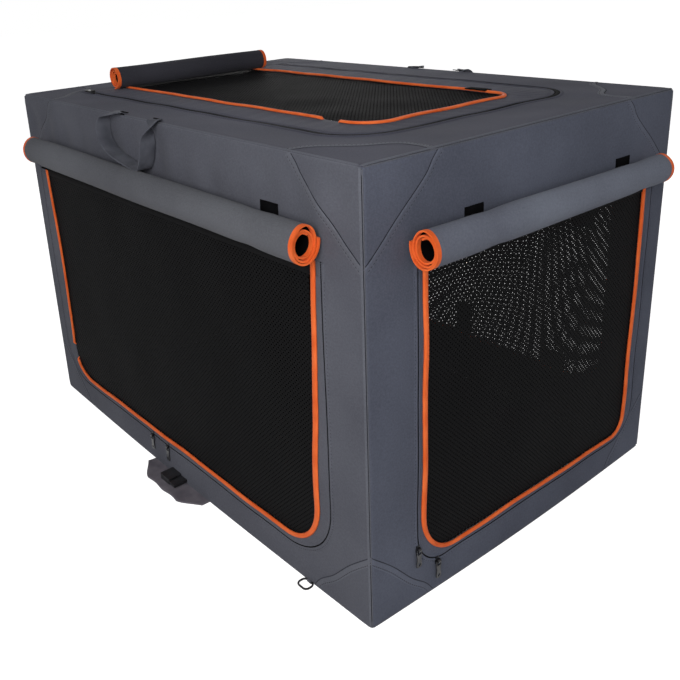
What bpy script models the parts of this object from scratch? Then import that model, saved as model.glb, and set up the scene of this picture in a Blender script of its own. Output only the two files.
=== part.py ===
"""Soft folding dog crate: a fabric box over a folding steel tube frame.

X runs along the crate, with the front door at +X. Y runs across it, with the near side door
at -Y. Z is up, and the origin is the middle of the underside. Lengths are metres.
"""

import math

import bmesh
import bpy
from mathutils import Matrix, Vector

# Overall box and cloth
LENGTH = 0.916
WIDTH = 0.632
HEIGHT = 0.610
CLOTH = 0.003
CORNER_RADIUS = 0.012
WALL_CORNER_RADIUS = 0.004
MAT_THICKNESS = 0.014
MAT_MARGIN = 0.012
FIT_GAP = 0.0003

# Steel tube frame
TUBE_DIAMETER = 0.016
TUBE_WALL = 0.001
TUBE_TO_CLOTH = 0.003
TUBE_BEND_RADIUS = 0.034
POST_BEND_RADIUS = 0.024
BUTT_GAP = 0.0006
POST_PITCH = 0.018
POST_END = 0.014

# Clips that carry the cross bars on the rings
CLIP_WALL = 0.0018
CLIP_LENGTH = 0.026
CLIP_BORE_GAP = 0.0004
BASE_CLIP_SPREAD = 0.400
ROOF_CLIP_SPREAD = 0.300

# Elbow rivets
RIVET_DIAMETER = 0.006
RIVET_HEAD_DIAMETER = 0.011
RIVET_HEAD_THICKNESS = 0.0011
RIVET_COLLAR_THICKNESS = 0.0012
RIVET_BORE_GAP = 0.0004

# Side door, front door, far window and roof door: the zip line is the outside of each door.
# Each margin is measured from the box's edge on that side, and each drop from its top.
SIDE_ZIP_BACK_MARGIN = 0.032
SIDE_ZIP_FRONT_MARGIN = 0.069
SIDE_BORDER = 0.0205
SIDE_FRONT_BORDER = 0.017
SIDE_BOTTOM_BORDER = 0.009
FRONT_ZIP_NEAR_MARGIN = 0.082
FRONT_ZIP_FAR_MARGIN = 0.039
FRONT_BORDER = 0.0205
FRONT_NEAR_BORDER = 0.007
FRONT_BOTTOM_BORDER = 0.006
DOOR_ZIP_BOTTOM = 0.046
DOOR_HINGE_DROP = 0.1415
DOOR_TOP_BORDER = 0.012
SIDE_CORNER_RADIUS = 0.080
FRONT_CORNER_RADIUS = 0.036
ROOF_ZIP_NEAR_MARGIN = 0.084
ROOF_ZIP_FAR_MARGIN = 0.094
ROOF_ZIP_FRONT_MARGIN = 0.098
ROOF_HINGE_MARGIN = 0.086
ROOF_BORDER = 0.048
ROOF_NEAR_BORDER = 0.067
ROOF_FAR_BORDER = 0.078
ROOF_LEFT_BORDER = 0.020
ROOF_CORNER_RADIUS = 0.075
FAR_WINDOW_MARGIN = 0.078
FAR_WINDOW_BOTTOM = 0.080
FAR_WINDOW_DROP = 0.090
FAR_WINDOW_RADIUS = 0.062
ZIP_GAP = 0.002
BINDING_WIDTH = 0.008
BINDING_THICKNESS = 0.0042
NET_THICKNESS = 0.0012
NET_BAR = 0.006
NET_EDGE = 0.016
NET_PITCH = 0.070

# Rolled covers
ROLL_CORE_DIAMETER = 0.020
ROLL_PITCH = 0.0042
WALL_ROLL_TURNS = 3.0
ROOF_ROLL_TURNS = 1.8
ROLL_CLOTH = 0.0030
SIDE_ROLL_BACK_MARGIN = 0.084
SIDE_ROLL_FRONT_MARGIN = 0.062
SIDE_ROLL_DROP = 0.095
FRONT_ROLL_NEAR_MARGIN = 0.065
FRONT_ROLL_FAR_MARGIN = 0.064
FRONT_ROLL_DROP = 0.102
ROOF_ROLL_NEAR_MARGIN = 0.133
ROOF_ROLL_FAR_MARGIN = 0.158
ROOF_ROLL_FROM_HINGE = 0.031
SIDE_ROLL_END = 30
FRONT_ROLL_END = 150
ROOF_ROLL_END = 270

# Roll straps
STRAP_WIDTH = 0.036
STRAP_THICKNESS = 0.002
STRAP_TAB = 0.027
STRAP_WRAP = math.radians(80.0)
SIDE_STRAP_LEFT_INSET = 0.024
SIDE_STRAP_RIGHT_INSET = 0.102
FRONT_STRAP_NEAR_INSET = 0.116
FRONT_STRAP_FAR_INSET = 0.064

# Carry handles
HANDLE_WEBBING = 0.025
HANDLE_THICKNESS = 0.003
HANDLE_SPAN = 0.138
HANDLE_DROP = 0.066
HANDLE_BEND = 0.040
HANDLE_LEAN = math.radians(20.0)
NEAR_HANDLE_PLACE = -0.025
FAR_HANDLE_PLACE = 0.001

# Zip sliders and their pulls
SLIDER_WIDTH = 0.0056
SLIDER_LENGTH = 0.011
SLIDER_BASE = 0.003
SLIDER_BRIDGE_RADIUS = 0.0026
SLIDER_BORE = 0.0028
PULL_LENGTH = 0.027
PULL_WIDTH = 0.0095
PULL_TIP_RADIUS = 0.003
PULL_SLOT_WIDTH = 0.0066
PULL_SLOT_LENGTH = 0.0045
PULL_BAR = 0.0014
SIDE_SLIDERS = (-0.090, -0.038)
FRONT_SLIDER_FROM_CORNER = 0.038
ROOF_SLIDER_FROM_HINGE = 0.045

# Folding strap with its side release buckle, and the ground ring
FOLD_STRAP_LEFT = -0.086
FOLD_STRAP_RIGHT = 0.086
FOLD_STRAP_WIDTH = 0.044
FOLD_STRAP_SLANT = 0.036
FOLD_STRAP_RISE = 0.026
FOLD_STRAP_THICKNESS = 0.0018
BUCKLE_WIDTH = 0.026
BUCKLE_HEIGHT = 0.010
BUCKLE_WALL = 0.0018
SOCKET_LENGTH = 0.028
SOCKET_DEPTH = 0.021
SOCKET_LEFT = -0.026
PLUG_BASE_LENGTH = 0.017
PLUG_GAP = 0.0008
PRONG_LENGTH = 0.019
PRONG_WIDTH = 0.004
BUCKLE_SPACING = 0.004
RING_SPAN = 0.020
RING_REACH = 0.016
RING_WIRE = 0.003
RING_BEND = 0.006
RING_FRONT_MARGIN = 0.121
RING_TAB_WALL = 0.0009
RING_TAB_LENGTH = 0.008
RING_BORE_GAP = 0.0002

# Facets
TUBE_SIDES = 8
BORE_SIDES = 12
BEND_STEPS = 4
CORNER_STEPS = 4
ROLL_STEPS = 20
CUT_OVERRUN = 0.004
SMOOTH_ANGLE = math.radians(40.0)

# Places worked out from the sizes above
HALF_LENGTH = LENGTH / 2
HALF_WIDTH = WIDTH / 2
TUBE_RADIUS = TUBE_DIAMETER / 2
CLIP_BORE = TUBE_RADIUS + CLIP_BORE_GAP
CLIP_RADIUS = CLIP_BORE + CLIP_WALL
FRAME_X = HALF_LENGTH - CLOTH - TUBE_TO_CLOTH - TUBE_RADIUS
LOWER_Y = HALF_WIDTH - CLOTH - TUBE_TO_CLOTH - TUBE_RADIUS
UPPER_Y = LOWER_Y - POST_PITCH
BASE_RING_Z = CLOTH + FIT_GAP + CLIP_RADIUS
LOWER_BAR_Z = BASE_RING_Z + POST_PITCH
ROOF_RING_Z = HEIGHT - CLOTH - FIT_GAP - CLIP_RADIUS
UPPER_BAR_Z = ROOF_RING_Z - POST_PITCH
ELBOW_Z = (LOWER_BAR_Z + UPPER_BAR_Z) / 2
WALL_BOTTOM = CLOTH + FIT_GAP
WALL_TOP = HEIGHT - CLOTH - FIT_GAP
ROLL_RADIUS = ROLL_CORE_DIAMETER / 2 + ROLL_PITCH * WALL_ROLL_TURNS + ROLL_CLOTH
ROOF_ROLL_RADIUS = ROLL_CORE_DIAMETER / 2 + ROLL_PITCH * ROOF_ROLL_TURNS + ROLL_CLOTH
ROLL_STANDOFF = STRAP_THICKNESS + FIT_GAP + FIT_GAP + ROLL_RADIUS
DOOR_HINGE_HEIGHT = HEIGHT - DOOR_HINGE_DROP
SIDE_ROLL_HEIGHT = HEIGHT - SIDE_ROLL_DROP
FRONT_ROLL_HEIGHT = HEIGHT - FRONT_ROLL_DROP
ROOF_HINGE = -HALF_LENGTH + ROOF_HINGE_MARGIN
ROOF_ROLL_PLACE = ROOF_HINGE + ROOF_ROLL_FROM_HINGE
SIDE_ROLL_Y = -HALF_WIDTH - ROLL_STANDOFF
FRONT_ROLL_X = HALF_LENGTH + ROLL_STANDOFF
ROOF_ROLL_Z = HEIGHT + FIT_GAP + (BINDING_THICKNESS - CLOTH) / 2 + ROOF_ROLL_RADIUS
HANDLE_OUT = FIT_GAP + HANDLE_THICKNESS / 2
SIDE_ZIP_LEFT = -HALF_LENGTH + SIDE_ZIP_BACK_MARGIN
SIDE_ZIP_RIGHT = HALF_LENGTH - SIDE_ZIP_FRONT_MARGIN
FRONT_ZIP_LEFT = -HALF_WIDTH + FRONT_ZIP_NEAR_MARGIN
FRONT_ZIP_RIGHT = HALF_WIDTH - FRONT_ZIP_FAR_MARGIN
ROOF_ZIP_NEAR = -HALF_WIDTH + ROOF_ZIP_NEAR_MARGIN
ROOF_ZIP_FAR = HALF_WIDTH - ROOF_ZIP_FAR_MARGIN
ROOF_ZIP_RIGHT = HALF_LENGTH - ROOF_ZIP_FRONT_MARGIN
FAR_WINDOW_LEFT = -HALF_LENGTH + FAR_WINDOW_MARGIN
FAR_WINDOW_RIGHT = HALF_LENGTH - FAR_WINDOW_MARGIN
FAR_WINDOW_TOP = HEIGHT - FAR_WINDOW_DROP
SIDE_ROLL_LEFT = -HALF_LENGTH + SIDE_ROLL_BACK_MARGIN
SIDE_ROLL_RIGHT = HALF_LENGTH - SIDE_ROLL_FRONT_MARGIN
FRONT_ROLL_NEAR = -HALF_WIDTH + FRONT_ROLL_NEAR_MARGIN
FRONT_ROLL_FAR = HALF_WIDTH - FRONT_ROLL_FAR_MARGIN
ROOF_ROLL_NEAR = -HALF_WIDTH + ROOF_ROLL_NEAR_MARGIN
ROOF_ROLL_FAR = HALF_WIDTH - ROOF_ROLL_FAR_MARGIN
SIDE_STRAPS = (SIDE_ROLL_LEFT + SIDE_STRAP_LEFT_INSET, SIDE_ROLL_RIGHT - SIDE_STRAP_RIGHT_INSET)
FRONT_STRAPS = (FRONT_ROLL_NEAR + FRONT_STRAP_NEAR_INSET, FRONT_ROLL_FAR - FRONT_STRAP_FAR_INSET)
FRONT_SLIDER_LOW = FRONT_ZIP_LEFT + FRONT_SLIDER_FROM_CORNER
FRONT_SLIDER_HIGH = DOOR_ZIP_BOTTOM + FRONT_SLIDER_FROM_CORNER
ROOF_SLIDER = ROOF_HINGE + ROOF_SLIDER_FROM_HINGE
RING_PLACE = HALF_LENGTH - RING_FRONT_MARGIN

MATERIALS = {
    "grey_oxford": ((0.095, 0.097, 0.112), 0.85, 0.0),
    "orange_binding": ((0.78, 0.16, 0.045), 0.7, 0.0),
    "black_net": ((0.010, 0.010, 0.011), 0.8, 0.0),
    "black_webbing": ((0.015, 0.015, 0.017), 0.8, 0.0),
    "grey_webbing": ((0.080, 0.082, 0.095), 0.8, 0.0),
    "black_plastic": ((0.012, 0.012, 0.013), 0.4, 0.0),
    "black_zip": ((0.018, 0.018, 0.020), 0.35, 0.6),
    "black_steel": ((0.020, 0.020, 0.022), 0.35, 0.5),
    "mat_cloth": ((0.020, 0.020, 0.023), 0.9, 0.0),
}


def clear_scene():
    for item in list(bpy.data.objects):
        bpy.data.objects.remove(item, do_unlink=True)


def material_for(node, finish):
    colour, roughness, metallic = MATERIALS[finish]
    material = bpy.data.materials.new(node + "_" + finish)
    material.use_nodes = True
    shader = material.node_tree.nodes["Principled BSDF"]
    shader.inputs["Base Color"].default_value = (*colour, 1.0)
    shader.inputs["Roughness"].default_value = roughness
    shader.inputs["Metallic"].default_value = metallic
    material.diffuse_color = (*colour, 1.0)
    return material


def add_object(name, bm, finish, origin=(0, 0, 0), smooth=False):
    """One named object; the mesh is made in world places and its origin is moved to a joint."""
    bmesh.ops.recalc_face_normals(bm, faces=bm.faces)
    mesh = bpy.data.meshes.new(name)
    bm.to_mesh(mesh)
    bm.free()
    mesh.transform(Matrix.Translation(-Vector(origin)))
    if finish:
        mesh.materials.append(material_for(name, finish))
    if smooth:
        mesh.shade_smooth()
        mesh.set_sharp_from_angle(angle=SMOOTH_ANGLE)
    item = bpy.data.objects.new(name, mesh)
    item.location = origin
    bpy.context.scene.collection.objects.link(item)
    return item


def cut_with(item, cutter, operation="DIFFERENCE"):
    cutter.hide_render = True
    cutter.display_type = "WIRE"
    modifier = item.modifiers.new(cutter.name, "BOOLEAN")
    modifier.operation = operation
    modifier.solver = "EXACT"
    modifier.object = cutter


# Planes: u and v lie in the sheet, w is its thickness
PLANES = {
    "xy": lambda u, v, w: (u, v, w),
    "xz": lambda u, v, w: (u, w, v),
    "yz": lambda u, v, w: (w, u, v),
}


def rounded_rectangle(left, right, bottom, top, low_radius, high_radius=None):
    """Outline points; the two low corners and the two high corners may differ."""
    high_radius = low_radius if high_radius is None else high_radius
    corners = (
        (right, bottom, -1, 1, low_radius, 270),
        (right, top, -1, -1, high_radius, 0),
        (left, top, 1, -1, high_radius, 90),
        (left, bottom, 1, 1, low_radius, 180),
    )
    points = []
    for u, v, u_side, v_side, radius, start in corners:
        for step in range(CORNER_STEPS + 1):
            angle = math.radians(start + 90 * step / CORNER_STEPS)
            points.append((
                u + u_side * radius + radius * math.cos(angle),
                v + v_side * radius + radius * math.sin(angle),
            ))
    return points


def rectangle(left, right, bottom, top):
    return [(left, bottom), (right, bottom), (right, top), (left, top)]


def prism(outline, plane, low, high):
    bm = bmesh.new()
    ends = [[bm.verts.new(PLANES[plane](u, v, w)) for u, v in outline] for w in (low, high)]
    bm.faces.new(ends[0])
    bm.faces.new(ends[1])
    count = len(outline)
    for index in range(count):
        after = (index + 1) % count
        bm.faces.new((ends[0][index], ends[0][after], ends[1][after], ends[1][index]))
    return bm


def strip_prism(left_edge, right_edge, plane, low, high, closed=False):
    """A strip between two matching edges, given a thickness; closed joins its ends as a ring."""
    bm = bmesh.new()
    rails = [
        [bm.verts.new(PLANES[plane](u, v, w)) for u, v in edge]
        for w in (low, high) for edge in (left_edge, right_edge)
    ]
    low_left, low_right, high_left, high_right = rails
    count = len(left_edge)
    for index in range(count if closed else count - 1):
        after = (index + 1) % count
        for one, two in ((low_left, low_right), (high_left, high_right),
                         (low_left, high_left), (low_right, high_right)):
            bm.faces.new((one[index], one[after], two[after], two[index]))
    if not closed:
        for end in (0, -1):
            bm.faces.new((low_left[end], low_right[end], high_right[end], high_left[end]))
    return bm


def net(left, right, bottom, top, plane, low, high):
    """A flat net: a lattice of bars about one pitch apart inside a plain edge."""
    def lines(start, end):
        clear = end - start - NET_EDGE * 2 + NET_BAR
        count = max(2, round(clear / NET_PITCH))
        pitch = clear / count
        places = [start]
        for index in range(count):
            places.append(start + NET_EDGE + pitch * index)
            places.append(start + NET_EDGE + pitch * (index + 1) - NET_BAR)
        places.append(end)
        return places

    columns, rows = lines(left, right), lines(bottom, top)
    bm = bmesh.new()
    grid = [
        [[bm.verts.new(PLANES[plane](u, v, w)) for v in rows] for u in columns]
        for w in (low, high)
    ]

    def is_gap(column, row):
        inside = 0 <= column < len(columns) - 1 and 0 <= row < len(rows) - 1
        return not inside or (column % 2 == 1 and row % 2 == 1)

    for column in range(len(columns) - 1):
        for row in range(len(rows) - 1):
            if is_gap(column, row):
                continue
            for sheet in grid:
                bm.faces.new((sheet[column][row], sheet[column + 1][row],
                              sheet[column + 1][row + 1], sheet[column][row + 1]))
            sides = (
                (column, row - 1, (column, row), (column + 1, row)),
                (column, row + 1, (column, row + 1), (column + 1, row + 1)),
                (column - 1, row, (column, row), (column, row + 1)),
                (column + 1, row, (column + 1, row), (column + 1, row + 1)),
            )
            for next_column, next_row, one, two in sides:
                if is_gap(next_column, next_row):
                    bm.faces.new((grid[0][one[0]][one[1]], grid[0][two[0]][two[1]],
                                  grid[1][two[0]][two[1]], grid[1][one[0]][one[1]]))
    return bm


def bend(path_corners, radius):
    """Points of a path whose corners are turned as arcs; each corner is a Vector."""
    points = [path_corners[0]]
    for before, corner, after in zip(path_corners, path_corners[1:], path_corners[2:]):
        inward = (before - corner).normalized()
        onward = (after - corner).normalized()
        centre = corner + (inward + onward) * radius
        for step in range(BEND_STEPS + 1):
            angle = math.radians(90 * step / BEND_STEPS)
            points.append(centre - onward * radius * math.cos(angle)
                          - inward * radius * math.sin(angle))
    points.append(path_corners[-1])
    return points


def tube(points, normal, wall=TUBE_WALL, radius=TUBE_RADIUS):
    """A hollow tube along a flat path, open at both ends."""
    bm = bmesh.new()
    normal = Vector(normal)
    rings = []
    for index, point in enumerate(points):
        before = points[max(index - 1, 0)]
        after = points[min(index + 1, len(points) - 1)]
        tangent = (after - before).normalized()
        sideways = tangent.cross(normal)
        ring = []
        for size in (radius, radius - wall):
            ring.append([])
            for side in range(TUBE_SIDES):
                angle = 2 * math.pi * side / TUBE_SIDES
                offset = sideways * math.cos(angle) + normal * math.sin(angle)
                ring[-1].append(bm.verts.new(point + offset * size))
        rings.append(ring)
    for before, after in zip(rings, rings[1:]):
        for skin in (0, 1):
            for side in range(TUBE_SIDES):
                turn = (side + 1) % TUBE_SIDES
                bm.faces.new((before[skin][side], before[skin][turn],
                              after[skin][turn], after[skin][side]))
    for outer, inner in (rings[0], rings[-1]):
        for side in range(TUBE_SIDES):
            turn = (side + 1) % TUBE_SIDES
            bm.faces.new((outer[side], outer[turn], inner[turn], inner[side]))
    return bm


def turned_along_y(profile, x, z, sides=TUBE_SIDES):
    """A solid of revolution about a line along Y; the profile holds y and radius."""
    bm = bmesh.new()
    rings = []
    for y, radius in profile:
        rings.append([
            bm.verts.new((x + radius * math.cos(2 * math.pi * side / sides), y,
                          z + radius * math.sin(2 * math.pi * side / sides)))
            for side in range(sides)
        ])
    for before, after in zip(rings, rings[1:]):
        for side in range(sides):
            turn = (side + 1) % sides
            bm.faces.new((before[side], before[turn], after[turn], after[side]))
    bm.faces.new(rings[0])
    bm.faces.new(rings[-1])
    return bm


def bore_cutter(name, x, z, low, high, radius):
    """A cutter along Y whose flats clear the round piece that it is cut for."""
    profile = ((low - CUT_OVERRUN, radius), (high + CUT_OVERRUN, radius))
    cutter = add_object(name, turned_along_y(profile, x, z, BORE_SIDES), None)
    cutter.hide_render = True
    cutter.display_type = "WIRE"
    return cutter


def make_floor():
    outline = rounded_rectangle(-HALF_LENGTH, HALF_LENGTH, -HALF_WIDTH, HALF_WIDTH, CORNER_RADIUS)
    add_object("floor_panel", prism(outline, "xy", 0, CLOTH), "grey_oxford")
    reach_x = FRAME_X - TUBE_RADIUS - MAT_MARGIN
    reach_y = LOWER_Y - TUBE_RADIUS - MAT_MARGIN
    outline = rounded_rectangle(-reach_x, reach_x, -reach_y, reach_y, CORNER_RADIUS)
    low = CLOTH + FIT_GAP
    add_object("floor_mat", prism(outline, "xy", low, low + MAT_THICKNESS), "mat_cloth")


def make_ring(name, z):
    """A bent tube whose two ends butt together at the middle of the back run."""
    half_gap = BUTT_GAP / 2
    corners = [
        Vector((-FRAME_X, half_gap, z)), Vector((-FRAME_X, LOWER_Y, z)),
        Vector((FRAME_X, LOWER_Y, z)), Vector((FRAME_X, -LOWER_Y, z)),
        Vector((-FRAME_X, -LOWER_Y, z)), Vector((-FRAME_X, -half_gap, z)),
    ]
    add_object(name, tube(bend(corners, TUBE_BEND_RADIUS), (0, 0, 1)), "black_steel", smooth=True)


def make_u_frame(name, side, reach_y, bar_z, direction):
    """A bar across the crate with a post at each end, bored for the elbow rivets."""
    x = side * FRAME_X
    end_z = ELBOW_Z + direction * POST_END
    corners = [Vector((x, -reach_y, end_z)), Vector((x, -reach_y, bar_z)),
               Vector((x, reach_y, bar_z)), Vector((x, reach_y, end_z))]
    pivot_z = bar_z if direction > 0 else ELBOW_Z
    frame = add_object(name, tube(bend(corners, POST_BEND_RADIUS), (1, 0, 0)), "black_steel",
                       origin=(x, 0, pivot_z), smooth=True)
    reach = reach_y + TUBE_RADIUS
    bore = RIVET_DIAMETER / 2 + RIVET_BORE_GAP
    cutter = bore_cutter(name + "_rivet_bore", x, ELBOW_Z, -reach, reach, bore)
    cut_with(frame, cutter)


def make_frames():
    make_ring("base_ring", BASE_RING_Z)
    make_ring("roof_ring", ROOF_RING_Z)
    for end, side in (("front", 1), ("back", -1)):
        make_u_frame(end + "_lower_frame", side, LOWER_Y, LOWER_BAR_Z, 1)
        make_u_frame(end + "_upper_frame", side, UPPER_Y, UPPER_BAR_Z, -1)


def make_clips(level, low_z, high_z, spread, pivot_z):
    """Moulded clips with two bores: one grips a ring, the other carries a cross bar."""
    for end, side in (("front", 1), ("back", -1)):
        x = side * FRAME_X
        reach = spread / 2 + CLIP_LENGTH / 2
        bores = [
            bore_cutter(end + "_" + level + "_clip_bore_" + str(index), x, z, -reach, reach, CLIP_BORE)
            for index, z in enumerate((low_z, high_z))
        ]
        outline = rounded_rectangle(x - CLIP_RADIUS, x + CLIP_RADIUS, low_z - CLIP_RADIUS,
                                    high_z + CLIP_RADIUS, CLIP_RADIUS)
        for hand, middle in (("near", -spread / 2), ("far", spread / 2)):
            bm = prism(outline, "xz", middle - CLIP_LENGTH / 2, middle + CLIP_LENGTH / 2)
            clip = add_object("_".join((level, "clip", end, hand)), bm, "black_plastic",
                              origin=(x, middle, pivot_z), smooth=True)
            for bore in bores:
                cut_with(clip, bore)


def make_elbow_rivets():
    """Each rivet goes through an outer and an inner post, with a collar between them."""
    shaft = RIVET_DIAMETER / 2
    head = RIVET_HEAD_DIAMETER / 2
    outer_face = LOWER_Y + TUBE_RADIUS + FIT_GAP
    inner_face = UPPER_Y - TUBE_RADIUS - FIT_GAP
    collar = (LOWER_Y + UPPER_Y) / 2
    half_collar = RIVET_COLLAR_THICKNESS / 2
    for end, side in (("front", 1), ("back", -1)):
        for hand, sign in (("near", -1), ("far", 1)):
            steps = (
                (inner_face - RIVET_HEAD_THICKNESS, head), (inner_face, head),
                (inner_face, shaft), (collar - half_collar, shaft),
                (collar - half_collar, head), (collar + half_collar, head),
                (collar + half_collar, shaft), (outer_face, shaft),
                (outer_face, head), (outer_face + RIVET_HEAD_THICKNESS, head),
            )
            profile = [(sign * y, radius) for y, radius in steps]
            x = side * FRAME_X
            add_object("_".join(("elbow_rivet", end, hand)), turned_along_y(profile, x, ELBOW_Z),
                       "black_steel", origin=(x, sign * collar, ELBOW_Z), smooth=True)


def side_opening(shrink=0):
    return (SIDE_ZIP_LEFT + shrink, SIDE_ZIP_RIGHT - shrink,
            DOOR_ZIP_BOTTOM + shrink, DOOR_HINGE_HEIGHT)


def front_opening(shrink=0):
    return (FRONT_ZIP_LEFT + shrink, FRONT_ZIP_RIGHT - shrink,
            DOOR_ZIP_BOTTOM + shrink, DOOR_HINGE_HEIGHT)


def wall_with_opening(outer, hole, radius, top_radius, plane, low, high):
    outside = rounded_rectangle(*outer, WALL_CORNER_RADIUS)
    inside = rounded_rectangle(*hole, radius, top_radius)
    return strip_prism(outside, inside, plane, low, high, closed=True)


def make_walls():
    """The long walls cover the ends of the short ones, with a small gap at each corner."""
    long_wall = (-HALF_LENGTH, HALF_LENGTH, WALL_BOTTOM, WALL_TOP)
    short_reach = HALF_WIDTH - CLOTH - FIT_GAP
    short_wall = (-short_reach, short_reach, WALL_BOTTOM, WALL_TOP)
    inner_y = HALF_WIDTH - CLOTH
    inner_x = HALF_LENGTH - CLOTH
    bm = wall_with_opening(long_wall, side_opening(-ZIP_GAP / 2), SIDE_CORNER_RADIUS, FIT_GAP,
                           "xz", -HALF_WIDTH, -inner_y)
    add_object("near_side_wall", bm, "grey_oxford")
    window = (FAR_WINDOW_LEFT, FAR_WINDOW_RIGHT, FAR_WINDOW_BOTTOM, FAR_WINDOW_TOP)
    bm = wall_with_opening(long_wall, window, FAR_WINDOW_RADIUS, FAR_WINDOW_RADIUS,
                           "xz", inner_y, HALF_WIDTH)
    add_object("far_side_wall", bm, "grey_oxford")
    bm = wall_with_opening(short_wall, front_opening(-ZIP_GAP / 2), FRONT_CORNER_RADIUS, FIT_GAP,
                           "yz", inner_x, HALF_LENGTH)
    add_object("front_wall", bm, "grey_oxford")
    outline = rounded_rectangle(*short_wall, WALL_CORNER_RADIUS)
    add_object("back_wall", prism(outline, "yz", -HALF_LENGTH, -inner_x), "grey_oxford")


def inset(box, amounts):
    """A box of left, right, bottom and top drawn in by the four amounts."""
    left, right, bottom, top = box
    return (left + amounts[0], right - amounts[1], bottom + amounts[2], top - amounts[3])


def make_screen(name, border, hole, radii, plane, low, high, origin):
    """Binding round a hole, and the net inside it. A border of four widths, or none, holds them."""
    middle = (low + high) / 2
    if border:
        outside = rounded_rectangle(*border["box"], *border["radii"])
        inside = rounded_rectangle(*hole, *radii)
        bm = strip_prism(outside, inside, plane, low, high, closed=True)
        add_object(name + "_border", bm, "grey_oxford", origin)
    step = (FIT_GAP,) * 4
    edge = inset(hole, step)
    outside = rounded_rectangle(*edge, *[radius - FIT_GAP for radius in radii])
    within = inset(edge, (BINDING_WIDTH,) * 4)
    inner_radii = [radius - FIT_GAP - BINDING_WIDTH for radius in radii]
    inside = rounded_rectangle(*within, *inner_radii)
    half = BINDING_THICKNESS / 2
    bm = strip_prism(outside, inside, plane, middle - half, middle + half, closed=True)
    add_object(name + "_binding", bm, "orange_binding", origin)
    net_box = inset(within, step)
    half = NET_THICKNESS / 2
    item = add_object(name + "_mesh", net(*net_box, plane, middle - half, middle + half),
                      "black_net", origin)
    outline = rounded_rectangle(*net_box, *[radius - FIT_GAP for radius in inner_radii])
    trim = add_object(name + "_mesh_outline", prism(outline, plane, middle - CLOTH, middle + CLOTH),
                      None)
    cut_with(item, trim, "INTERSECT")


def make_doors():
    top_radius = BINDING_WIDTH + FIT_GAP * 4
    box = side_opening(ZIP_GAP / 2)
    hole = inset(box, (SIDE_BORDER, SIDE_FRONT_BORDER, SIDE_BOTTOM_BORDER, DOOR_TOP_BORDER))
    radii = (SIDE_CORNER_RADIUS - ZIP_GAP, FIT_GAP)
    hole_radii = (SIDE_CORNER_RADIUS - SIDE_BOTTOM_BORDER, top_radius)
    make_screen("side_door", {"box": box, "radii": radii}, hole, hole_radii, "xz",
                -HALF_WIDTH, -HALF_WIDTH + CLOTH, (0, -HALF_WIDTH, DOOR_HINGE_HEIGHT))
    box = front_opening(ZIP_GAP / 2)
    hole = inset(box, (FRONT_NEAR_BORDER, FRONT_BORDER, FRONT_BOTTOM_BORDER, DOOR_TOP_BORDER))
    radii = (FRONT_CORNER_RADIUS - ZIP_GAP, FIT_GAP)
    hole_radii = (FRONT_CORNER_RADIUS + FRONT_NEAR_BORDER, top_radius)
    make_screen("front_door", {"box": box, "radii": radii}, hole, hole_radii, "yz",
                HALF_LENGTH - CLOTH, HALF_LENGTH, (HALF_LENGTH, 0, DOOR_HINGE_HEIGHT))
    window = (FAR_WINDOW_LEFT, FAR_WINDOW_RIGHT, FAR_WINDOW_BOTTOM, FAR_WINDOW_TOP)
    make_screen("far_window", None, window, (FAR_WINDOW_RADIUS, FAR_WINDOW_RADIUS), "xz",
                HALF_WIDTH - CLOTH, HALF_WIDTH, (0, HALF_WIDTH, 0))


def roof_outline(box, right_radius, left_radius):
    """The roof pieces are drawn across the crate, so that their round corners are at the front."""
    left, right, near, far = box
    outline = rounded_rectangle(-far, -near, -right, -left, right_radius, left_radius)
    return [(-v, -u) for u, v in outline]


def make_roof():
    """The roof panel, and the roof door that unzips on three sides and lifts from its back edge."""
    low, high = HEIGHT - CLOTH, HEIGHT
    outline = roof_outline((-HALF_LENGTH, HALF_LENGTH, -HALF_WIDTH, HALF_WIDTH),
                           CORNER_RADIUS, CORNER_RADIUS)
    half_zip = ZIP_GAP / 2
    hole = (ROOF_HINGE - FIT_GAP, ROOF_ZIP_RIGHT + half_zip,
            ROOF_ZIP_NEAR - half_zip, ROOF_ZIP_FAR + half_zip)
    inside = roof_outline(hole, ROOF_CORNER_RADIUS, FIT_GAP)
    add_object("roof_panel", strip_prism(outline, inside, "xy", low, high, closed=True),
               "grey_oxford")
    origin = (ROOF_HINGE, 0, HEIGHT)
    door = inset(hole, (FIT_GAP, ZIP_GAP, ZIP_GAP, ZIP_GAP))
    outline = roof_outline(door, ROOF_CORNER_RADIUS - ZIP_GAP, FIT_GAP)
    screen = inset(door, (ROOF_LEFT_BORDER, ROOF_BORDER, ROOF_NEAR_BORDER, ROOF_FAR_BORDER))
    radius = ROOF_CORNER_RADIUS - ROOF_BORDER
    left_radius = BINDING_WIDTH + FIT_GAP * 4
    inside = roof_outline(screen, radius, left_radius)
    add_object("roof_door_border", strip_prism(outline, inside, "xy", low, high, closed=True),
               "grey_oxford", origin)
    middle = (low + high) / 2
    half = BINDING_THICKNESS / 2
    edge = inset(screen, (FIT_GAP,) * 4)
    within = inset(edge, (BINDING_WIDTH,) * 4)
    bound = FIT_GAP + BINDING_WIDTH
    outline = roof_outline(edge, radius - FIT_GAP, left_radius - FIT_GAP)
    inside = roof_outline(within, radius - bound, left_radius - bound)
    bm = strip_prism(outline, inside, "xy", middle - half, middle + half, closed=True)
    add_object("roof_door_binding", bm, "orange_binding", origin)
    box = inset(within, (FIT_GAP,) * 4)
    half = NET_THICKNESS / 2
    item = add_object("roof_door_mesh", net(*box, "xy", middle - half, middle + half),
                      "black_net", origin)
    outline = roof_outline(box, radius - bound - FIT_GAP, left_radius - bound - FIT_GAP)
    trim = add_object("roof_door_mesh_outline", prism(outline, "xy", low - CLOTH, high + CLOTH), None)
    cut_with(item, trim, "INTERSECT")


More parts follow.
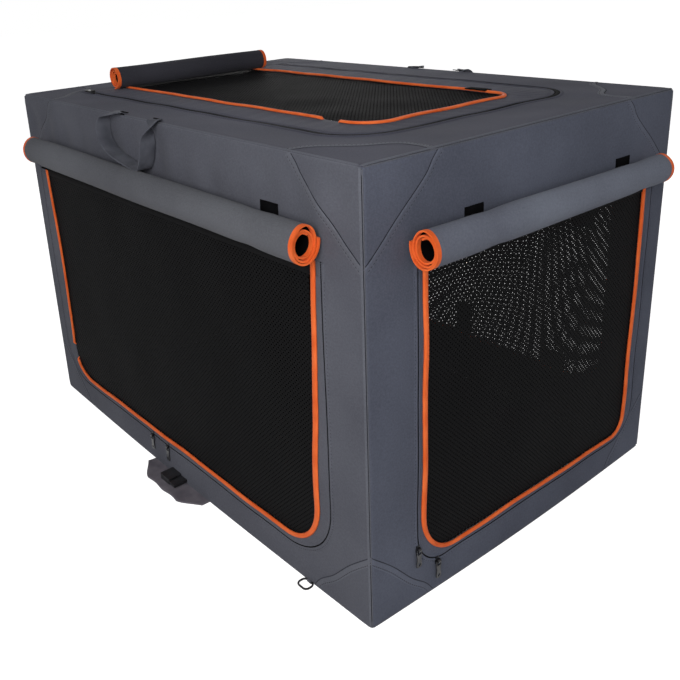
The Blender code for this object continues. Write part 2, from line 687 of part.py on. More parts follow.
def spiral_edges(u, v, turns, turn, end):
    """The inner and the outer face of a rolled cloth; its last turn stops at the end angle."""
    edges = ([], [])
    steps = round(turns * ROLL_STEPS)
    for index in range(steps + 1):
        angle = math.radians(end) - turn * 2 * math.pi * (steps - index) / ROLL_STEPS
        radius = ROLL_CORE_DIAMETER / 2 + ROLL_PITCH * index / ROLL_STEPS
        for edge, size in zip(edges, (radius, radius + ROLL_CLOTH)):
            edge.append((u + size * math.cos(angle), v + size * math.sin(angle)))
    return edges


def make_rolls():
    """Each cover is rolled from its free edge, outwards, and held under its top seam."""
    rolls = (
        ("side_roll", "yz", SIDE_ROLL_Y, SIDE_ROLL_HEIGHT, SIDE_ROLL_LEFT, SIDE_ROLL_RIGHT,
         WALL_ROLL_TURNS, 1, SIDE_ROLL_END, (0, SIDE_ROLL_Y, SIDE_ROLL_HEIGHT)),
        ("front_roll", "xz", FRONT_ROLL_X, FRONT_ROLL_HEIGHT, FRONT_ROLL_NEAR, FRONT_ROLL_FAR,
         WALL_ROLL_TURNS, -1, FRONT_ROLL_END, (FRONT_ROLL_X, 0, FRONT_ROLL_HEIGHT)),
        ("roof_roll", "xz", ROOF_ROLL_PLACE, ROOF_ROLL_Z, ROOF_ROLL_NEAR, ROOF_ROLL_FAR,
         ROOF_ROLL_TURNS, -1, ROOF_ROLL_END, (ROOF_HINGE, 0, HEIGHT)),
    )
    for name, plane, u, v, low, high, turns, turn, end, origin in rolls:
        inner, outer = spiral_edges(u, v, turns, turn, end)
        add_object(name, strip_prism(inner, outer, plane, low, high), "grey_oxford",
                   origin, smooth=True)
    print("least gap between the turns of a roll, mm:", round(least_roll_gap() * 1000, 2))


def least_roll_gap():
    """The least distance from a turn's outer face to the inner face of the turn outside it."""
    inner, outer = spiral_edges(0, 0, WALL_ROLL_TURNS, 1, 0)
    least = ROLL_RADIUS
    for index, point in enumerate(outer):
        for other in inner[index + ROLL_STEPS // 2:]:
            least = min(least, math.dist(point, other))
    return least


def strap_edges(u, v, outward):
    """A strap that runs down the wall behind a roll and turns under it."""
    radius = ROLL_RADIUS + FIT_GAP + STRAP_THICKNESS / 2
    half = STRAP_THICKNESS / 2
    near_edge, far_edge = [], []
    for size, edge in ((radius - half, near_edge), (radius + half, far_edge)):
        edge.append((u - outward * size, v + STRAP_TAB))
        for step in range(BEND_STEPS * 2 + 1):
            angle = STRAP_WRAP * step / (BEND_STEPS * 2)
            edge.append((u - outward * size * math.cos(angle), v - size * math.sin(angle)))
    return near_edge, far_edge


def make_roll_straps():
    half = STRAP_WIDTH / 2
    sets = (
        ("side_roll_strap", "yz", SIDE_STRAPS, SIDE_ROLL_Y, SIDE_ROLL_HEIGHT, -1,
         (0, SIDE_ROLL_Y, SIDE_ROLL_HEIGHT)),
        ("front_roll_strap", "xz", FRONT_STRAPS, FRONT_ROLL_X, FRONT_ROLL_HEIGHT, 1,
         (FRONT_ROLL_X, 0, FRONT_ROLL_HEIGHT)),
    )
    for name, plane, places, u, v, outward, origin in sets:
        for index, place in enumerate(places):
            near_edge, far_edge = strap_edges(u, v, outward)
            bm = strip_prism(near_edge, far_edge, plane, place - half, place + half)
            add_object(name + "_" + str(index + 1), bm, "black_webbing", origin)


def handle_edges(middle, top, bottom):
    """The two edges of a webbing loop that hangs flat against the wall."""
    half_span = HANDLE_SPAN / 2
    centre_line = bend([Vector((middle - half_span, 0, top)), Vector((middle - half_span, 0, bottom)),
                        Vector((middle + half_span, 0, bottom)), Vector((middle + half_span, 0, top))],
                       HANDLE_BEND)
    edges = ([], [])
    for index, point in enumerate(centre_line):
        before = centre_line[max(index - 1, 0)]
        after = centre_line[min(index + 1, len(centre_line) - 1)]
        tangent = (after - before).normalized()
        across = Vector((-tangent.z, 0, tangent.x))
        for edge, sign in zip(edges, (-1, 1)):
            spot = point + across * sign * HANDLE_WEBBING / 2
            edge.append((spot.x, spot.z))
    return edges


def make_handles():
    """Each loop is sewn in at the roof's edge and hangs with a lean away from the wall."""
    axis_z = HEIGHT + HANDLE_OUT
    bottom = axis_z - HANDLE_DROP + HANDLE_WEBBING / 2
    half = HANDLE_THICKNESS / 2
    for hand, sign, place in (("near", -1, NEAR_HANDLE_PLACE), ("far", 1, FAR_HANDLE_PLACE)):
        y = sign * (HALF_WIDTH + HANDLE_OUT)
        left_edge, right_edge = handle_edges(place, axis_z, bottom)
        bm = strip_prism(left_edge, right_edge, "xz", y - half, y + half)
        origin = Vector((place, y, axis_z))
        bmesh.ops.rotate(bm, verts=bm.verts, cent=origin,
                         matrix=Matrix.Rotation(sign * HANDLE_LEAN, 3, "X"))
        add_object(hand + "_handle", bm, "grey_webbing", origin=origin)


def slider_frame(face, along, down):
    """Axes of a slider: out of the cloth, along the pull's bar, and the way the pull hangs."""
    return Vector(face), Vector(along), Vector(down)


def framed_prism(outline, axes, spot, low, high):
    """A prism whose outline is given as hang and out lengths, made along the bar's axis."""
    out, along, down = axes
    bm = prism(outline, "xy", low, high)
    for vert in bm.verts:
        hang, rise, across = vert.co
        vert.co = Vector(spot) + down * hang + out * rise + along * across
    return bm


def bridge_outline():
    """The slider seen along its bar: a base plate and a round bridge over it."""
    half = SLIDER_LENGTH / 2
    points = [(-half, 0), (half, 0), (half, SLIDER_BASE)]
    rise = SLIDER_BASE + SLIDER_BRIDGE_RADIUS - PULL_BAR / 2
    for step in range(CORNER_STEPS * 2 + 1):
        angle = math.pi * step / (CORNER_STEPS * 2)
        points.append((SLIDER_BRIDGE_RADIUS * math.cos(angle),
                       rise + SLIDER_BRIDGE_RADIUS * math.sin(angle)))
    points.insert(3, (SLIDER_BRIDGE_RADIUS, SLIDER_BASE))
    points.append((-SLIDER_BRIDGE_RADIUS, SLIDER_BASE))
    points.append((-half, SLIDER_BASE))
    return points


def bar_rise():
    return SLIDER_BASE + SLIDER_BRIDGE_RADIUS - PULL_BAR / 2


def make_slider(name, spot, axes):
    out, along, down = axes
    half = SLIDER_WIDTH / 2
    seat = Vector(spot) + out * FIT_GAP
    slider = add_object(name + "_slider", framed_prism(bridge_outline(), axes, seat, -half, half),
                        "black_zip", origin=seat)
    rise = bar_rise()
    radius = SLIDER_BORE / 2
    ring = [(radius * math.cos(2 * math.pi * side / BORE_SIDES),
             rise + radius * math.sin(2 * math.pi * side / BORE_SIDES)) for side in range(BORE_SIDES)]
    reach = half + CUT_OVERRUN
    cut_with(slider, add_object(name + "_slider_bore", framed_prism(ring, axes, seat, -reach, reach),
                                None))
    make_pull(name, seat + out * rise, axes)


def make_pull(name, pivot, axes):
    """A tab whose end bar passes through the slider's bridge."""
    out, along, down = axes
    half_bar = PULL_BAR / 2
    outside = rounded_rectangle(-PULL_WIDTH / 2, PULL_WIDTH / 2, -half_bar, PULL_LENGTH,
                                half_bar, PULL_TIP_RADIUS)
    slot = rounded_rectangle(-PULL_SLOT_WIDTH / 2, PULL_SLOT_WIDTH / 2, half_bar,
                             half_bar + PULL_SLOT_LENGTH, half_bar / 2, half_bar / 2)
    bm = strip_prism(outside, slot, "xy", -half_bar, half_bar, closed=True)
    for vert in bm.verts:
        across, hang, rise = vert.co
        vert.co = pivot + along * across + down * hang + out * rise
    add_object(name + "_pull", bm, "black_zip", origin=pivot)


def make_sliders():
    side_axes = slider_frame((0, -1, 0), (1, 0, 0), (0, 0, -1))
    front_axes = slider_frame((1, 0, 0), (0, 1, 0), (0, 0, -1))
    roof_axes = slider_frame((0, 0, 1), (0, 1, 0), (-1, 0, 0))
    for name, x in zip(("side_left", "side_right"), SIDE_SLIDERS):
        make_slider(name, (x, -HALF_WIDTH, DOOR_ZIP_BOTTOM), side_axes)
    make_slider("front_low", (HALF_LENGTH, FRONT_SLIDER_LOW, DOOR_ZIP_BOTTOM), front_axes)
    make_slider("front_high", (HALF_LENGTH, FRONT_ZIP_LEFT, FRONT_SLIDER_HIGH), front_axes)
    beside_door = ROOF_ZIP_NEAR - PULL_WIDTH / 2
    make_slider("roof", (ROOF_SLIDER, beside_door, HEIGHT), roof_axes)


def make_fold_strap():
    """The strap that holds the folded crate lies on the ground beside the near wall."""
    near = -HALF_WIDTH - FIT_GAP
    outer = near - FOLD_STRAP_WIDTH
    outline = [
        (FOLD_STRAP_LEFT, outer + FOLD_STRAP_RISE), (FOLD_STRAP_LEFT + FOLD_STRAP_SLANT, outer),
        (FOLD_STRAP_RIGHT - FOLD_STRAP_SLANT, outer), (FOLD_STRAP_RIGHT, outer + FOLD_STRAP_RISE),
        (FOLD_STRAP_RIGHT, near), (FOLD_STRAP_LEFT, near),
    ]
    add_object("fold_strap", prism(outline, "xy", 0, FOLD_STRAP_THICKNESS), "grey_webbing")


def make_buckle():
    """The plug's prongs run in the socket's cavity, and the plug draws out along X."""
    low = FOLD_STRAP_THICKNESS + FIT_GAP
    far = -HALF_WIDTH - FIT_GAP - BUCKLE_SPACING
    middle = far - BUCKLE_WIDTH / 2
    right = SOCKET_LEFT + SOCKET_LENGTH
    half = BUCKLE_WIDTH / 2
    outline = rounded_rectangle(SOCKET_LEFT, right, middle - half, middle + half, BUCKLE_WALL)
    socket = add_object("buckle_socket", prism(outline, "xy", low, low + BUCKLE_HEIGHT),
                        "black_plastic")
    inner = half - BUCKLE_WALL
    cavity = rectangle(right - SOCKET_DEPTH, right + CUT_OVERRUN, middle - inner, middle + inner)
    cutter = add_object("buckle_cavity", prism(cavity, "xy", low + BUCKLE_WALL,
                                               low + BUCKLE_HEIGHT - BUCKLE_WALL), None)
    cut_with(socket, cutter)
    start = right + PLUG_GAP
    prong = inner - PLUG_GAP
    base = start + PLUG_BASE_LENGTH
    outline = [
        (base, middle - half), (base, middle + half), (start, middle + half),
        (start, middle + prong), (start - PRONG_LENGTH, middle + prong),
        (start - PRONG_LENGTH, middle + prong - PRONG_WIDTH),
        (start, middle + prong - PRONG_WIDTH), (start, middle - prong + PRONG_WIDTH),
        (start - PRONG_LENGTH, middle - prong + PRONG_WIDTH),
        (start - PRONG_LENGTH, middle - prong), (start, middle - prong), (start, middle - half),
    ]
    inside = BUCKLE_WALL + PLUG_GAP
    add_object("buckle_plug", prism(outline, "xy", low + inside, low + BUCKLE_HEIGHT - inside),
               "black_plastic", origin=(start, middle, low + BUCKLE_HEIGHT / 2))


def make_ground_ring():
    """A wire ring flat on the ground, whose straight bar turns in a sleeve sewn to the wall."""
    wire = RING_WIRE / 2
    bore = wire + RING_BORE_GAP
    sleeve = bore + RING_TAB_WALL
    y = -HALF_WIDTH - FIT_GAP - sleeve
    z = sleeve
    half = RING_SPAN / 2
    half_gap = BUTT_GAP / 2
    far_y = y - RING_REACH
    corners = [
        Vector((RING_PLACE - half_gap, far_y, z)), Vector((RING_PLACE - half, far_y, z)),
        Vector((RING_PLACE - half, y, z)), Vector((RING_PLACE + half, y, z)),
        Vector((RING_PLACE + half, far_y, z)), Vector((RING_PLACE + half_gap, far_y, z)),
    ]
    points = bend(corners, RING_BEND)
    bm = solid_wire(points, (0, 0, 1), wire)
    add_object("ground_ring", bm, "black_plastic", origin=(RING_PLACE, y, z), smooth=True)
    edges = ([], [])
    for step in range(BORE_SIDES):
        angle = 2 * math.pi * step / BORE_SIDES
        for edge, radius in zip(edges, (bore, sleeve)):
            edge.append((y + radius * math.cos(angle), z + radius * math.sin(angle)))
    reach = RING_TAB_LENGTH / 2
    bm = strip_prism(edges[0], edges[1], "yz", RING_PLACE - reach, RING_PLACE + reach, closed=True)
    add_object("ring_sleeve", bm, "black_webbing")


def solid_wire(points, normal, radius):
    """A solid bar along a flat path, closed at both ends."""
    bm = bmesh.new()
    normal = Vector(normal)
    rings = []
    for index, point in enumerate(points):
        before = points[max(index - 1, 0)]
        after = points[min(index + 1, len(points) - 1)]
        sideways = (after - before).normalized().cross(normal)
        rings.append([])
        for side in range(TUBE_SIDES):
            angle = 2 * math.pi * side / TUBE_SIDES
            offset = sideways * math.cos(angle) + normal * math.sin(angle)
            rings[-1].append(bm.verts.new(point + offset * radius))
    for before, after in zip(rings, rings[1:]):
        for side in range(TUBE_SIDES):
            turn = (side + 1) % TUBE_SIDES
            bm.faces.new((before[side], before[turn], after[turn], after[side]))
    bm.faces.new(rings[0])
    bm.faces.new(rings[-1])
    return bm


def main():
    clear_scene()
    make_floor()
    make_frames()
    make_clips("base", BASE_RING_Z, LOWER_BAR_Z, BASE_CLIP_SPREAD, LOWER_BAR_Z)
    make_clips("roof", UPPER_BAR_Z, ROOF_RING_Z, ROOF_CLIP_SPREAD, UPPER_BAR_Z)
    make_elbow_rivets()
    make_walls()
    make_doors()
    make_roof()
    make_rolls()
    make_roll_straps()
    make_handles()
    make_sliders()
    make_fold_strap()
    make_buckle()
    make_ground_ring()


main()
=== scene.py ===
# Soft folding dog crate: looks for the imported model.
# X runs along the crate to the front door, -Y is the near side with the long door, Z is up.
import math
import random

import bmesh
import bpy
import numpy as np
from mathutils import Matrix, Vector


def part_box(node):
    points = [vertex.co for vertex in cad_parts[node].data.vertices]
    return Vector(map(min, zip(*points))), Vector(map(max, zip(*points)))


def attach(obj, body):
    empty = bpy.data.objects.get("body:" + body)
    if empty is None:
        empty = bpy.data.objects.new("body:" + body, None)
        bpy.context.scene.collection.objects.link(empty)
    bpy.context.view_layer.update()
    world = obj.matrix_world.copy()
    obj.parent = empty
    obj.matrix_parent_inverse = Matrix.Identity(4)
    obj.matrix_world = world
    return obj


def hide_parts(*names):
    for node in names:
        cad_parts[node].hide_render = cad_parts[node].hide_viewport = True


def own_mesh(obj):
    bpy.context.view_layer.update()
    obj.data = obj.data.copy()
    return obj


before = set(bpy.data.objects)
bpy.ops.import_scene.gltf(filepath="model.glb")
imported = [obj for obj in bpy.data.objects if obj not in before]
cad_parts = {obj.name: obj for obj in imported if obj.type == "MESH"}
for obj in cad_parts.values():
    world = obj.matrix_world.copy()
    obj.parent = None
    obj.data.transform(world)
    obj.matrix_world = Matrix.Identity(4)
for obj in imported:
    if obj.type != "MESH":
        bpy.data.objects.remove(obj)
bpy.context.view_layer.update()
print("frame loaded:", len(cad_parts), "nodes")

# Main sizes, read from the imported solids
halfLength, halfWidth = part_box("floor_panel")[1].xy
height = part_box("roof_panel")[1].z
mm = 0.001

crate = {
    "edgeRadius": 6 * mm,       # how round the cloth turns at the box's edges
    "clothThick": 1.2 * mm,     # 600 denier cloth with its coating and lining
    "gridStep": 6.5 * mm,       # spacing of the panels' own mesh
    "foldKeep": 0.1283,         # share of the walls' height that is left when folded
    "hemSwell": 6 * mm,         # how far the lower edges belly out at mid length
    "panelPuff": 2.0 * mm,      # how far a wall bellies out at mid height
}


# Small helpers for materials

def linearColour(code):
    parts = [int(code[index:index + 2], 16) / 255 for index in (1, 3, 5)]
    return [c / 12.92 if c <= 0.04045 else ((c + 0.055) / 1.055) ** 2.4 for c in parts] + [1.0]


def addNode(tree, kind, settings=None, links=None):
    node = tree.nodes.new("ShaderNode" + kind)
    for key, value in (settings or {}).items():
        if isinstance(key, int) or key in node.inputs:
            node.inputs[key].default_value = value
        else:
            setattr(node, key, value)
    for key, source in (links or {}).items():
        tree.links.new(source, node.inputs[key])
    return node


def newMaterial(name):
    material = bpy.data.materials.new(name)
    material.use_nodes = True
    material.node_tree.nodes.clear()
    return material, material.node_tree


def objectPlace(tree):
    return addNode(tree, "TexCoord").outputs["Object"]


def noise(tree, place, scale, detail):
    return addNode(tree, "TexNoise", {"Scale": scale, "Detail": detail}, {"Vector": place}).outputs["Fac"]


def threadLines(tree, place, spacing):
    # Sines along X, Y and Z added up: threads or ribs whichever way a face looks
    turns = addNode(tree, "VectorMath", {"operation": "SCALE", "Scale": 2 * math.pi / spacing}, {0: place})
    waves = addNode(tree, "VectorMath", {"operation": "SINE"}, {0: turns.outputs[0]})
    return addNode(tree, "VectorMath", {"operation": "DOT_PRODUCT", 1: (1, 1, 1)},
                   {0: waves.outputs[0]}).outputs["Value"]


def weighted(tree, source, weight, base):
    return addNode(tree, "Math", {"operation": "MULTIPLY_ADD", 1: weight}, {0: source, 2: base}).outputs[0]


def shaded(tree, source, dark, light):
    # dark and light are each a place on the ramp and a colour
    shade = addNode(tree, "ValToRGB", links={"Fac": source})
    for element, (place, code) in zip(shade.color_ramp.elements, (dark, light)):
        element.position = place
        element.color = linearColour(code)
    return shade.outputs["Color"]


def finishMaterial(tree, colour, relief, strength, depth, settings, links=None):
    bump = addNode(tree, "Bump", {"Strength": strength, "Distance": depth}, {"Height": relief})
    shader = addNode(tree, "BsdfPrincipled", settings,
                     {"Base Color": colour, "Normal": bump.outputs["Normal"], **(links or {})})
    addNode(tree, "OutputMaterial", links={"Surface": shader.outputs[0]})


# Materials

oxfordCloth = {
    "thread": 1.9 * mm,         # real threads lie 0.6 mm apart; drawn coarser so that they show
    "weaveDepth": 0.16,
    "mottle": 5.0,              # slow shade changes, turns in a metre
    "grain": 420.0,
    "sheen": 0.04,
}


def wovenPolyester(name, light, dark, roughness=0.82, depth=oxfordCloth["weaveDepth"],
                   sheen=oxfordCloth["sheen"], gloss=0.08):
    # 600 denier polyester, plain woven: matte, with a faint grid of threads and slow shade changes
    material, tree = newMaterial(name)
    place = objectPlace(tree)
    grain = noise(tree, place, oxfordCloth["grain"], 2.0)
    mottle = weighted(tree, grain, 0.45, noise(tree, place, oxfordCloth["mottle"], 3.0))
    relief = weighted(tree, grain, 0.6, threadLines(tree, place, oxfordCloth["thread"]))
    finishMaterial(tree, shaded(tree, mottle, (0.45, dark), (0.95, light)), relief, depth, 0.4 * mm, {
        "Roughness": roughness, "Specular IOR Level": gloss, "Sheen Roughness": 0.5, "Sheen Weight": sheen})
    return material


def grosgrainTape(name, light, dark, rib=1.6 * mm, roughness=0.62, gloss=0.14, sheen=0.03):
    # Polyester tape with ribs across it: a soft gloss along the ribs, deeper colour between them
    material, tree = newMaterial(name)
    place = objectPlace(tree)
    colour = shaded(tree, noise(tree, place, 38.0, 2.0), (0.3, dark), (0.7, light))
    finishMaterial(tree, colour, threadLines(tree, place, rib), 0.25, 0.3 * mm, {
        "Roughness": roughness, "Specular IOR Level": gloss, "Sheen Weight": sheen})
    return material


def knittedYarn(name, gloss):
    # Black polyester yarn of a warp knitted net: dark, with a thin gloss on the round strands
    material, tree = newMaterial(name)
    twist = noise(tree, objectPlace(tree), 1500.0, 1.0)
    shade = addNode(tree, "Mix", {"data_type": "RGBA", 6: linearColour("#0b0b0c"),
                                  7: linearColour("#121213")}, {"Factor": twist})
    finishMaterial(tree, shade.outputs[2], twist, 0.3, 0.2 * mm,
                   {"Roughness": 0.7, "Specular IOR Level": gloss})
    return material


def hardFinish(name, colour, worn, roughness, metallic=0.0, grain=900.0, depth=0.08, gloss=0.5):
    # Moulded acetal, painted die casting or powder coat: fine orange-peel grain, paler where rubbed
    material, tree = newMaterial(name)
    place = objectPlace(tree)
    rub = noise(tree, place, 60.0, 4.0)
    rough = addNode(tree, "MapRange", {"To Min": roughness * 0.85, "To Max": roughness * 1.2},
                    {"Value": rub})
    finishMaterial(tree, shaded(tree, rub, (0.45, colour), (0.8, worn)), noise(tree, place, grain, 2.0),
                   depth, 0.2 * mm, {"Metallic": metallic, "Specular IOR Level": gloss},
                   {"Roughness": rough.outputs[0]})
    return material


greyOxford = wovenPolyester("greyWovenPolyester", "#60626b", "#4b4c55")
blueGreyOxford = wovenPolyester("greyWovenPolyesterEnds", "#5e6270", "#474a56")
# The roof's cloth is a darker copy of the grey cloth: painted shade, as the roof gets less light
paintedShadeRoofOxford = wovenPolyester("paintedShadeRoofCloth", "#515260", "#3f404b", gloss=0.05)
rollOxford = wovenPolyester("greyWovenPolyesterRolls", "#66686e", "#515258")
# The front roll's cloth is a paler copy of the cloth: painted light, where the roll catches the lamps
paintedLightFrontRollOxford = wovenPolyester("paintedLightFrontRollCloth", "#777c88", "#5f626e")
# The roof roll's cloth is a much darker copy of the grey cloth: painted shade, as the roll lies in shade
paintedShadeRoofRollOxford = wovenPolyester("paintedShadeRoofRollCloth", "#3c3c43", "#2e2e34")
# The seam allowances are paler copies of the cloth: painted highlight on the seams' ridges
highlightSeamCloth = wovenPolyester("paintedHighlightSeamAllowance", "#686a73", "#50525a", depth=0.1)
highlightSeamClothEnds = wovenPolyester("paintedHighlightSeamAllowanceEnds", "#646876", "#4d505b", depth=0.1)
# The mat's piping is grey cloth, drawn paler than its own grey as painted highlight along it
highlightedPipingCloth = wovenPolyester("greyMatPipingWithPaintedHighlight", "#8d8e95", "#6d6e75", gloss=0.1)
matte = {"sheen": 0.0, "gloss": 0.0}
blackLining = wovenPolyester("blackCoatedLining", "#0f0f10", "#0a0a0b", roughness=0.8, depth=0.08, **matte)
matCloth = wovenPolyester("darkQuiltedMatCloth", "#161617", "#0e0e0f", roughness=0.9, **matte)
netEdge = wovenPolyester("blackNetHem", "#1c1c1d", "#161617", roughness=0.9, depth=0.1, sheen=0.0,
                         gloss=0.04)
orangeTape = grosgrainTape("orangeGrosgrainTape", "#f4743a", "#e25f26")
blackTape = grosgrainTape("blackHookAndLoopTape", "#111113", "#09090a", roughness=0.9, gloss=0.02,
                          sheen=0.0)
webbingWeave = {"rib": 2.2 * mm, "roughness": 0.75}
strapWebbing = grosgrainTape("greyStrapWebbing", "#757179", "#5a5760", **webbingWeave)
greyWebbing = grosgrainTape("greyWovenWebbing", "#5e6069", "#45474f", **webbingWeave)
threadTwist = {"rib": 1.0 * mm, "roughness": 0.85, "gloss": 0.1, "sheen": 0.0}
# The dark line down the upright edges' seams is painted shade in their grooves
seamGrooveShade = grosgrainTape("paintedSeamGrooveShade", "#1d1e23", "#15161a", **threadTwist)
# Grey thread for the stitches; the lower seams' joints use it too, as a softer painted shade
paleThreadAndJointShade = grosgrainTape("greySewingThreadAndJointShade", "#3b3c45", "#303139", **threadTwist)
# The seams' joints are narrow dark ribbons: painted shade in the creases of the seams
seamJointShade = grosgrainTape("shadedSeamJoint", "#292a32", "#1f2026", rib=1.0 * mm, roughness=0.9,
                            gloss=0.05, sheen=0.0)
netYarn = knittedYarn("blackKnittedNet", 0.035)
roofYarn = knittedYarn("blackKnittedRoofNet", 0.006)
coilNylon = hardFinish("blackNylonCoil", "#0d0d0f", "#17171a", 0.6, gloss=0.03)
dieCast = hardFinish("blackPaintedDieCasting", "#141416", "#303136", 0.34, metallic=0.4)
acetal = hardFinish("blackMouldedAcetal", "#111113", "#27282c", 0.38)
powderCoat = hardFinish("blackPowderCoatedSteel", "#151517", "#222327", 0.42, grain=1400.0, depth=0.15)
print("materials made")


# Places on the cloth box: u and v lie in a face, lift is measured out of it

faceAxes = {
    # the directions of u and v, and where the face stands
    "near": ((1, 0, 0), (0, 0, 1), (0, -halfWidth, 0)),
    "far": ((1, 0, 0), (0, 0, 1), (0, halfWidth, 0)),
    "front": ((0, 1, 0), (0, 0, 1), (halfLength, 0, 0)),
    "back": ((0, 1, 0), (0, 0, 1), (-halfLength, 0, 0)),
    "roof": ((1, 0, 0), (0, 1, 0), (0, 0, height)),
    "floor": ((1, 0, 0), (0, 1, 0), (0, 0, 0)),
}
reach = ((-halfLength, halfLength), (-halfWidth, halfWidth), (0, height))
faceSpan = {face: reach[u.index(1)] + reach[v.index(1)] for face, (u, v, place) in faceAxes.items()}

folds = {
    "slack": 0.7 * mm,          # slow waves all over a panel
    "slackPitch": 0.16,
    "bandDrape": 3.4 * mm,      # upright folds in the near wall's top band
    "bandFoldPitch": 0.075,
    "bandStart": 0.50,          # height at which the band begins
    "bandFade": 0.05,
    "calmEdge": 4 * mm,         # seams hold the cloth flat this near to an edge
    "calmFade": 30 * mm,
    "puffFade": 80 * mm,
    "swellTall": 60 * mm,       # how far up the swelling of the lower edges reaches
    "swellWide": 30 * mm,
}


def softWaves(a, b, seed, count=5):
    # Smooth hills of about unit length: a sum of sines in seeded directions
    spin = random.Random(seed)
    total = 0
    for _ in range(count):
        turn = spin.uniform(0, math.pi)
        pace = spin.uniform(0.7, 1.6)
        total = total + np.sin(2 * math.pi * pace * (a * math.cos(turn) + b * math.sin(turn))
                               + spin.uniform(0, 6.28))
    return total / count * 1.4


def smooth(value):
    value = np.clip(value, 0, 1)
    return value * value * (3 - 2 * value)


def clothLift(face, u, v):
    if face == "floor":
        return u * 0
    left, right, low, high = faceSpan[face]
    toEdge = np.minimum(np.minimum(u - left, right - u), np.minimum(v - low, high - v))
    pitch = folds["slackPitch"]
    lift = folds["slack"] * softWaves(u / pitch, v / pitch, sorted(faceAxes).index(face))
    if face == "near":
        band = smooth((v - folds["bandStart"]) / folds["bandFade"]) * smooth((high - v) / folds["bandFade"])
        pitch = folds["bandFoldPitch"]
        lift = lift + band * folds["bandDrape"] * softWaves(u / pitch, v / (3 * pitch), 21)
    if face != "roof":
        puff = np.sin(np.clip(v / height, 0, 1) * math.pi) * smooth(toEdge / folds["puffFade"])
        lift = lift + crate["panelPuff"] * puff
    return lift * smooth((toEdge - folds["calmEdge"]) / folds["calmFade"])


def swollen(places):
    # The lower edges belly out between the corners, where the mat presses on the cloth
    ends = np.array([halfLength, halfWidth])
    flat = places[..., :2]
    wide, tall = folds["swellWide"], folds["swellTall"]
    edge = smooth((np.abs(flat) - ends + wide) / wide) * smooth((tall - places[..., 2:]) / tall)
    along = np.cos(math.pi / 2 * np.clip(flat / ends, -1, 1))[..., ::-1]
    places[..., :2] = flat + np.sign(flat) * edge * along * crate["hemSwell"]
    return places


def onBox(face, u, v, lift=0.0):
    u, v = np.asarray(u, float), np.asarray(v, float)
    uAxis, vAxis, origin = (np.array(part, float) for part in faceAxes[face])
    flat = u[..., None] * uAxis + v[..., None] * vAxis + origin
    radius = crate["edgeRadius"]
    inner = np.clip(flat, (-halfLength + radius, -halfWidth + radius, radius),
                    (halfLength - radius, halfWidth - radius, height - radius))
    outward = flat - inner
    outward /= np.maximum(np.linalg.norm(outward, axis=-1, keepdims=True), 1e-9)
    rise = np.asarray(lift, float) + clothLift(face, u, v)
    return swollen(inner + outward * (radius + rise[..., None]))


# Mesh builders

def newPiece(name, verts, polygons, material, smoothFaces=True, recalc=True):
    mesh = bpy.data.meshes.new(name)
    mesh.from_pydata([tuple(point) for point in verts], [], polygons)
    if recalc:
        bm = bmesh.new()
        bm.from_mesh(mesh)
        bmesh.ops.recalc_face_normals(bm, faces=bm.faces)
        bm.to_mesh(mesh)
        bm.free()
    mesh.materials.append(material)
    if smoothFaces:
        mesh.shade_smooth()
        mesh.set_sharp_from_angle(angle=math.radians(50))
    piece = bpy.data.objects.new(name, mesh)
    bpy.context.scene.collection.objects.link(piece)
    return piece


def thicken(piece, thickness, lined=False):
    # Cloth is drawn as its outer face and gets its thickness inwards, with the lining inside
    solid = piece.modifiers.new("clothThickness", "SOLIDIFY")
    solid.thickness = thickness
    solid.offset = -1
    if lined:
        piece.data.materials.append(blackLining)
        solid.material_offset = 1


def gridFaces(rows, columns, offset=0, closedRows=False, closedColumns=False, flip=False):
    polygons = []
    for row in range(rows if closedRows else rows - 1):
        for column in range(columns if closedColumns else columns - 1):
            nextRow = (row + 1) % rows
            nextColumn = (column + 1) % columns
            quad = (row * columns + column, row * columns + nextColumn,
                    nextRow * columns + nextColumn, nextRow * columns + column)
            polygons.append(tuple(index + offset for index in (quad[::-1] if flip else quad)))
    return polygons


def tubeFaces(rings, count, closed=False):
    # Rings of count points joined into a tube, with a face over each open end
    polygons = gridFaces(rings, count, closedRows=closed, closedColumns=True)
    if not closed:
        polygons.append(tuple(range(count)))
        polygons.append(tuple(range((rings - 1) * count, rings * count))[::-1])
    return polygons


def joinParts(name, parts, material, smoothFaces=True):
    verts, polygons = [], []
    for points, faces in parts:
        shift = len(verts)
        verts.extend(points)
        polygons.extend(tuple(index + shift for index in face) for face in faces)
    return newPiece(name, verts, polygons, material, smoothFaces)


def onBody(piece, body, slotName, replaced=()):
    if replaced:
        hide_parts(*replaced)
    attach(piece, body)


def onFoldingBody(piece, body, slotName, replaced=()):
    # Cloth between floor and roof crumples; here it rides its body with a mesh of its own
    onBody(piece, body, slotName, replaced)
    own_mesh(piece)


def onWall(piece, face, slotName, replaced=()):
    if face == "roof":
        onBody(piece, "roof", slotName, replaced)
    else:
        onFoldingBody(piece, "base", slotName, replaced)


def evenly(points, step, closed=False):
    points = np.array(points, float)
    ring = np.vstack([points, points[:1]]) if closed else points
    along = np.concatenate([[0], np.cumsum(np.linalg.norm(np.diff(ring, axis=0), axis=1))])
    count = max(2, int(round(along[-1] / step)))
    marks = np.linspace(0, along[-1], count + 1)
    if closed:
        marks = marks[:-1]
    return np.stack([np.interp(marks, along, ring[:, axis]) for axis in range(ring.shape[1])], axis=1)


def cornerArc(u, v, uSide, vSide, start, radius, count):
    angles = [math.radians(start + 90 * index / count) for index in range(count + 1)]
    return [(u + uSide * radius + radius * math.cos(angle), v + vSide * radius + radius * math.sin(angle))
            for angle in angles]


def cornersOf(rect):
    # Right low, right high, left high, left low: place, the way inwards and the angle an arc starts at
    left, right, low, high = rect
    return ((right, low, -1, 1, 270), (right, high, -1, -1, 0),
            (left, high, 1, -1, 90), (left, low, 1, 1, 180))


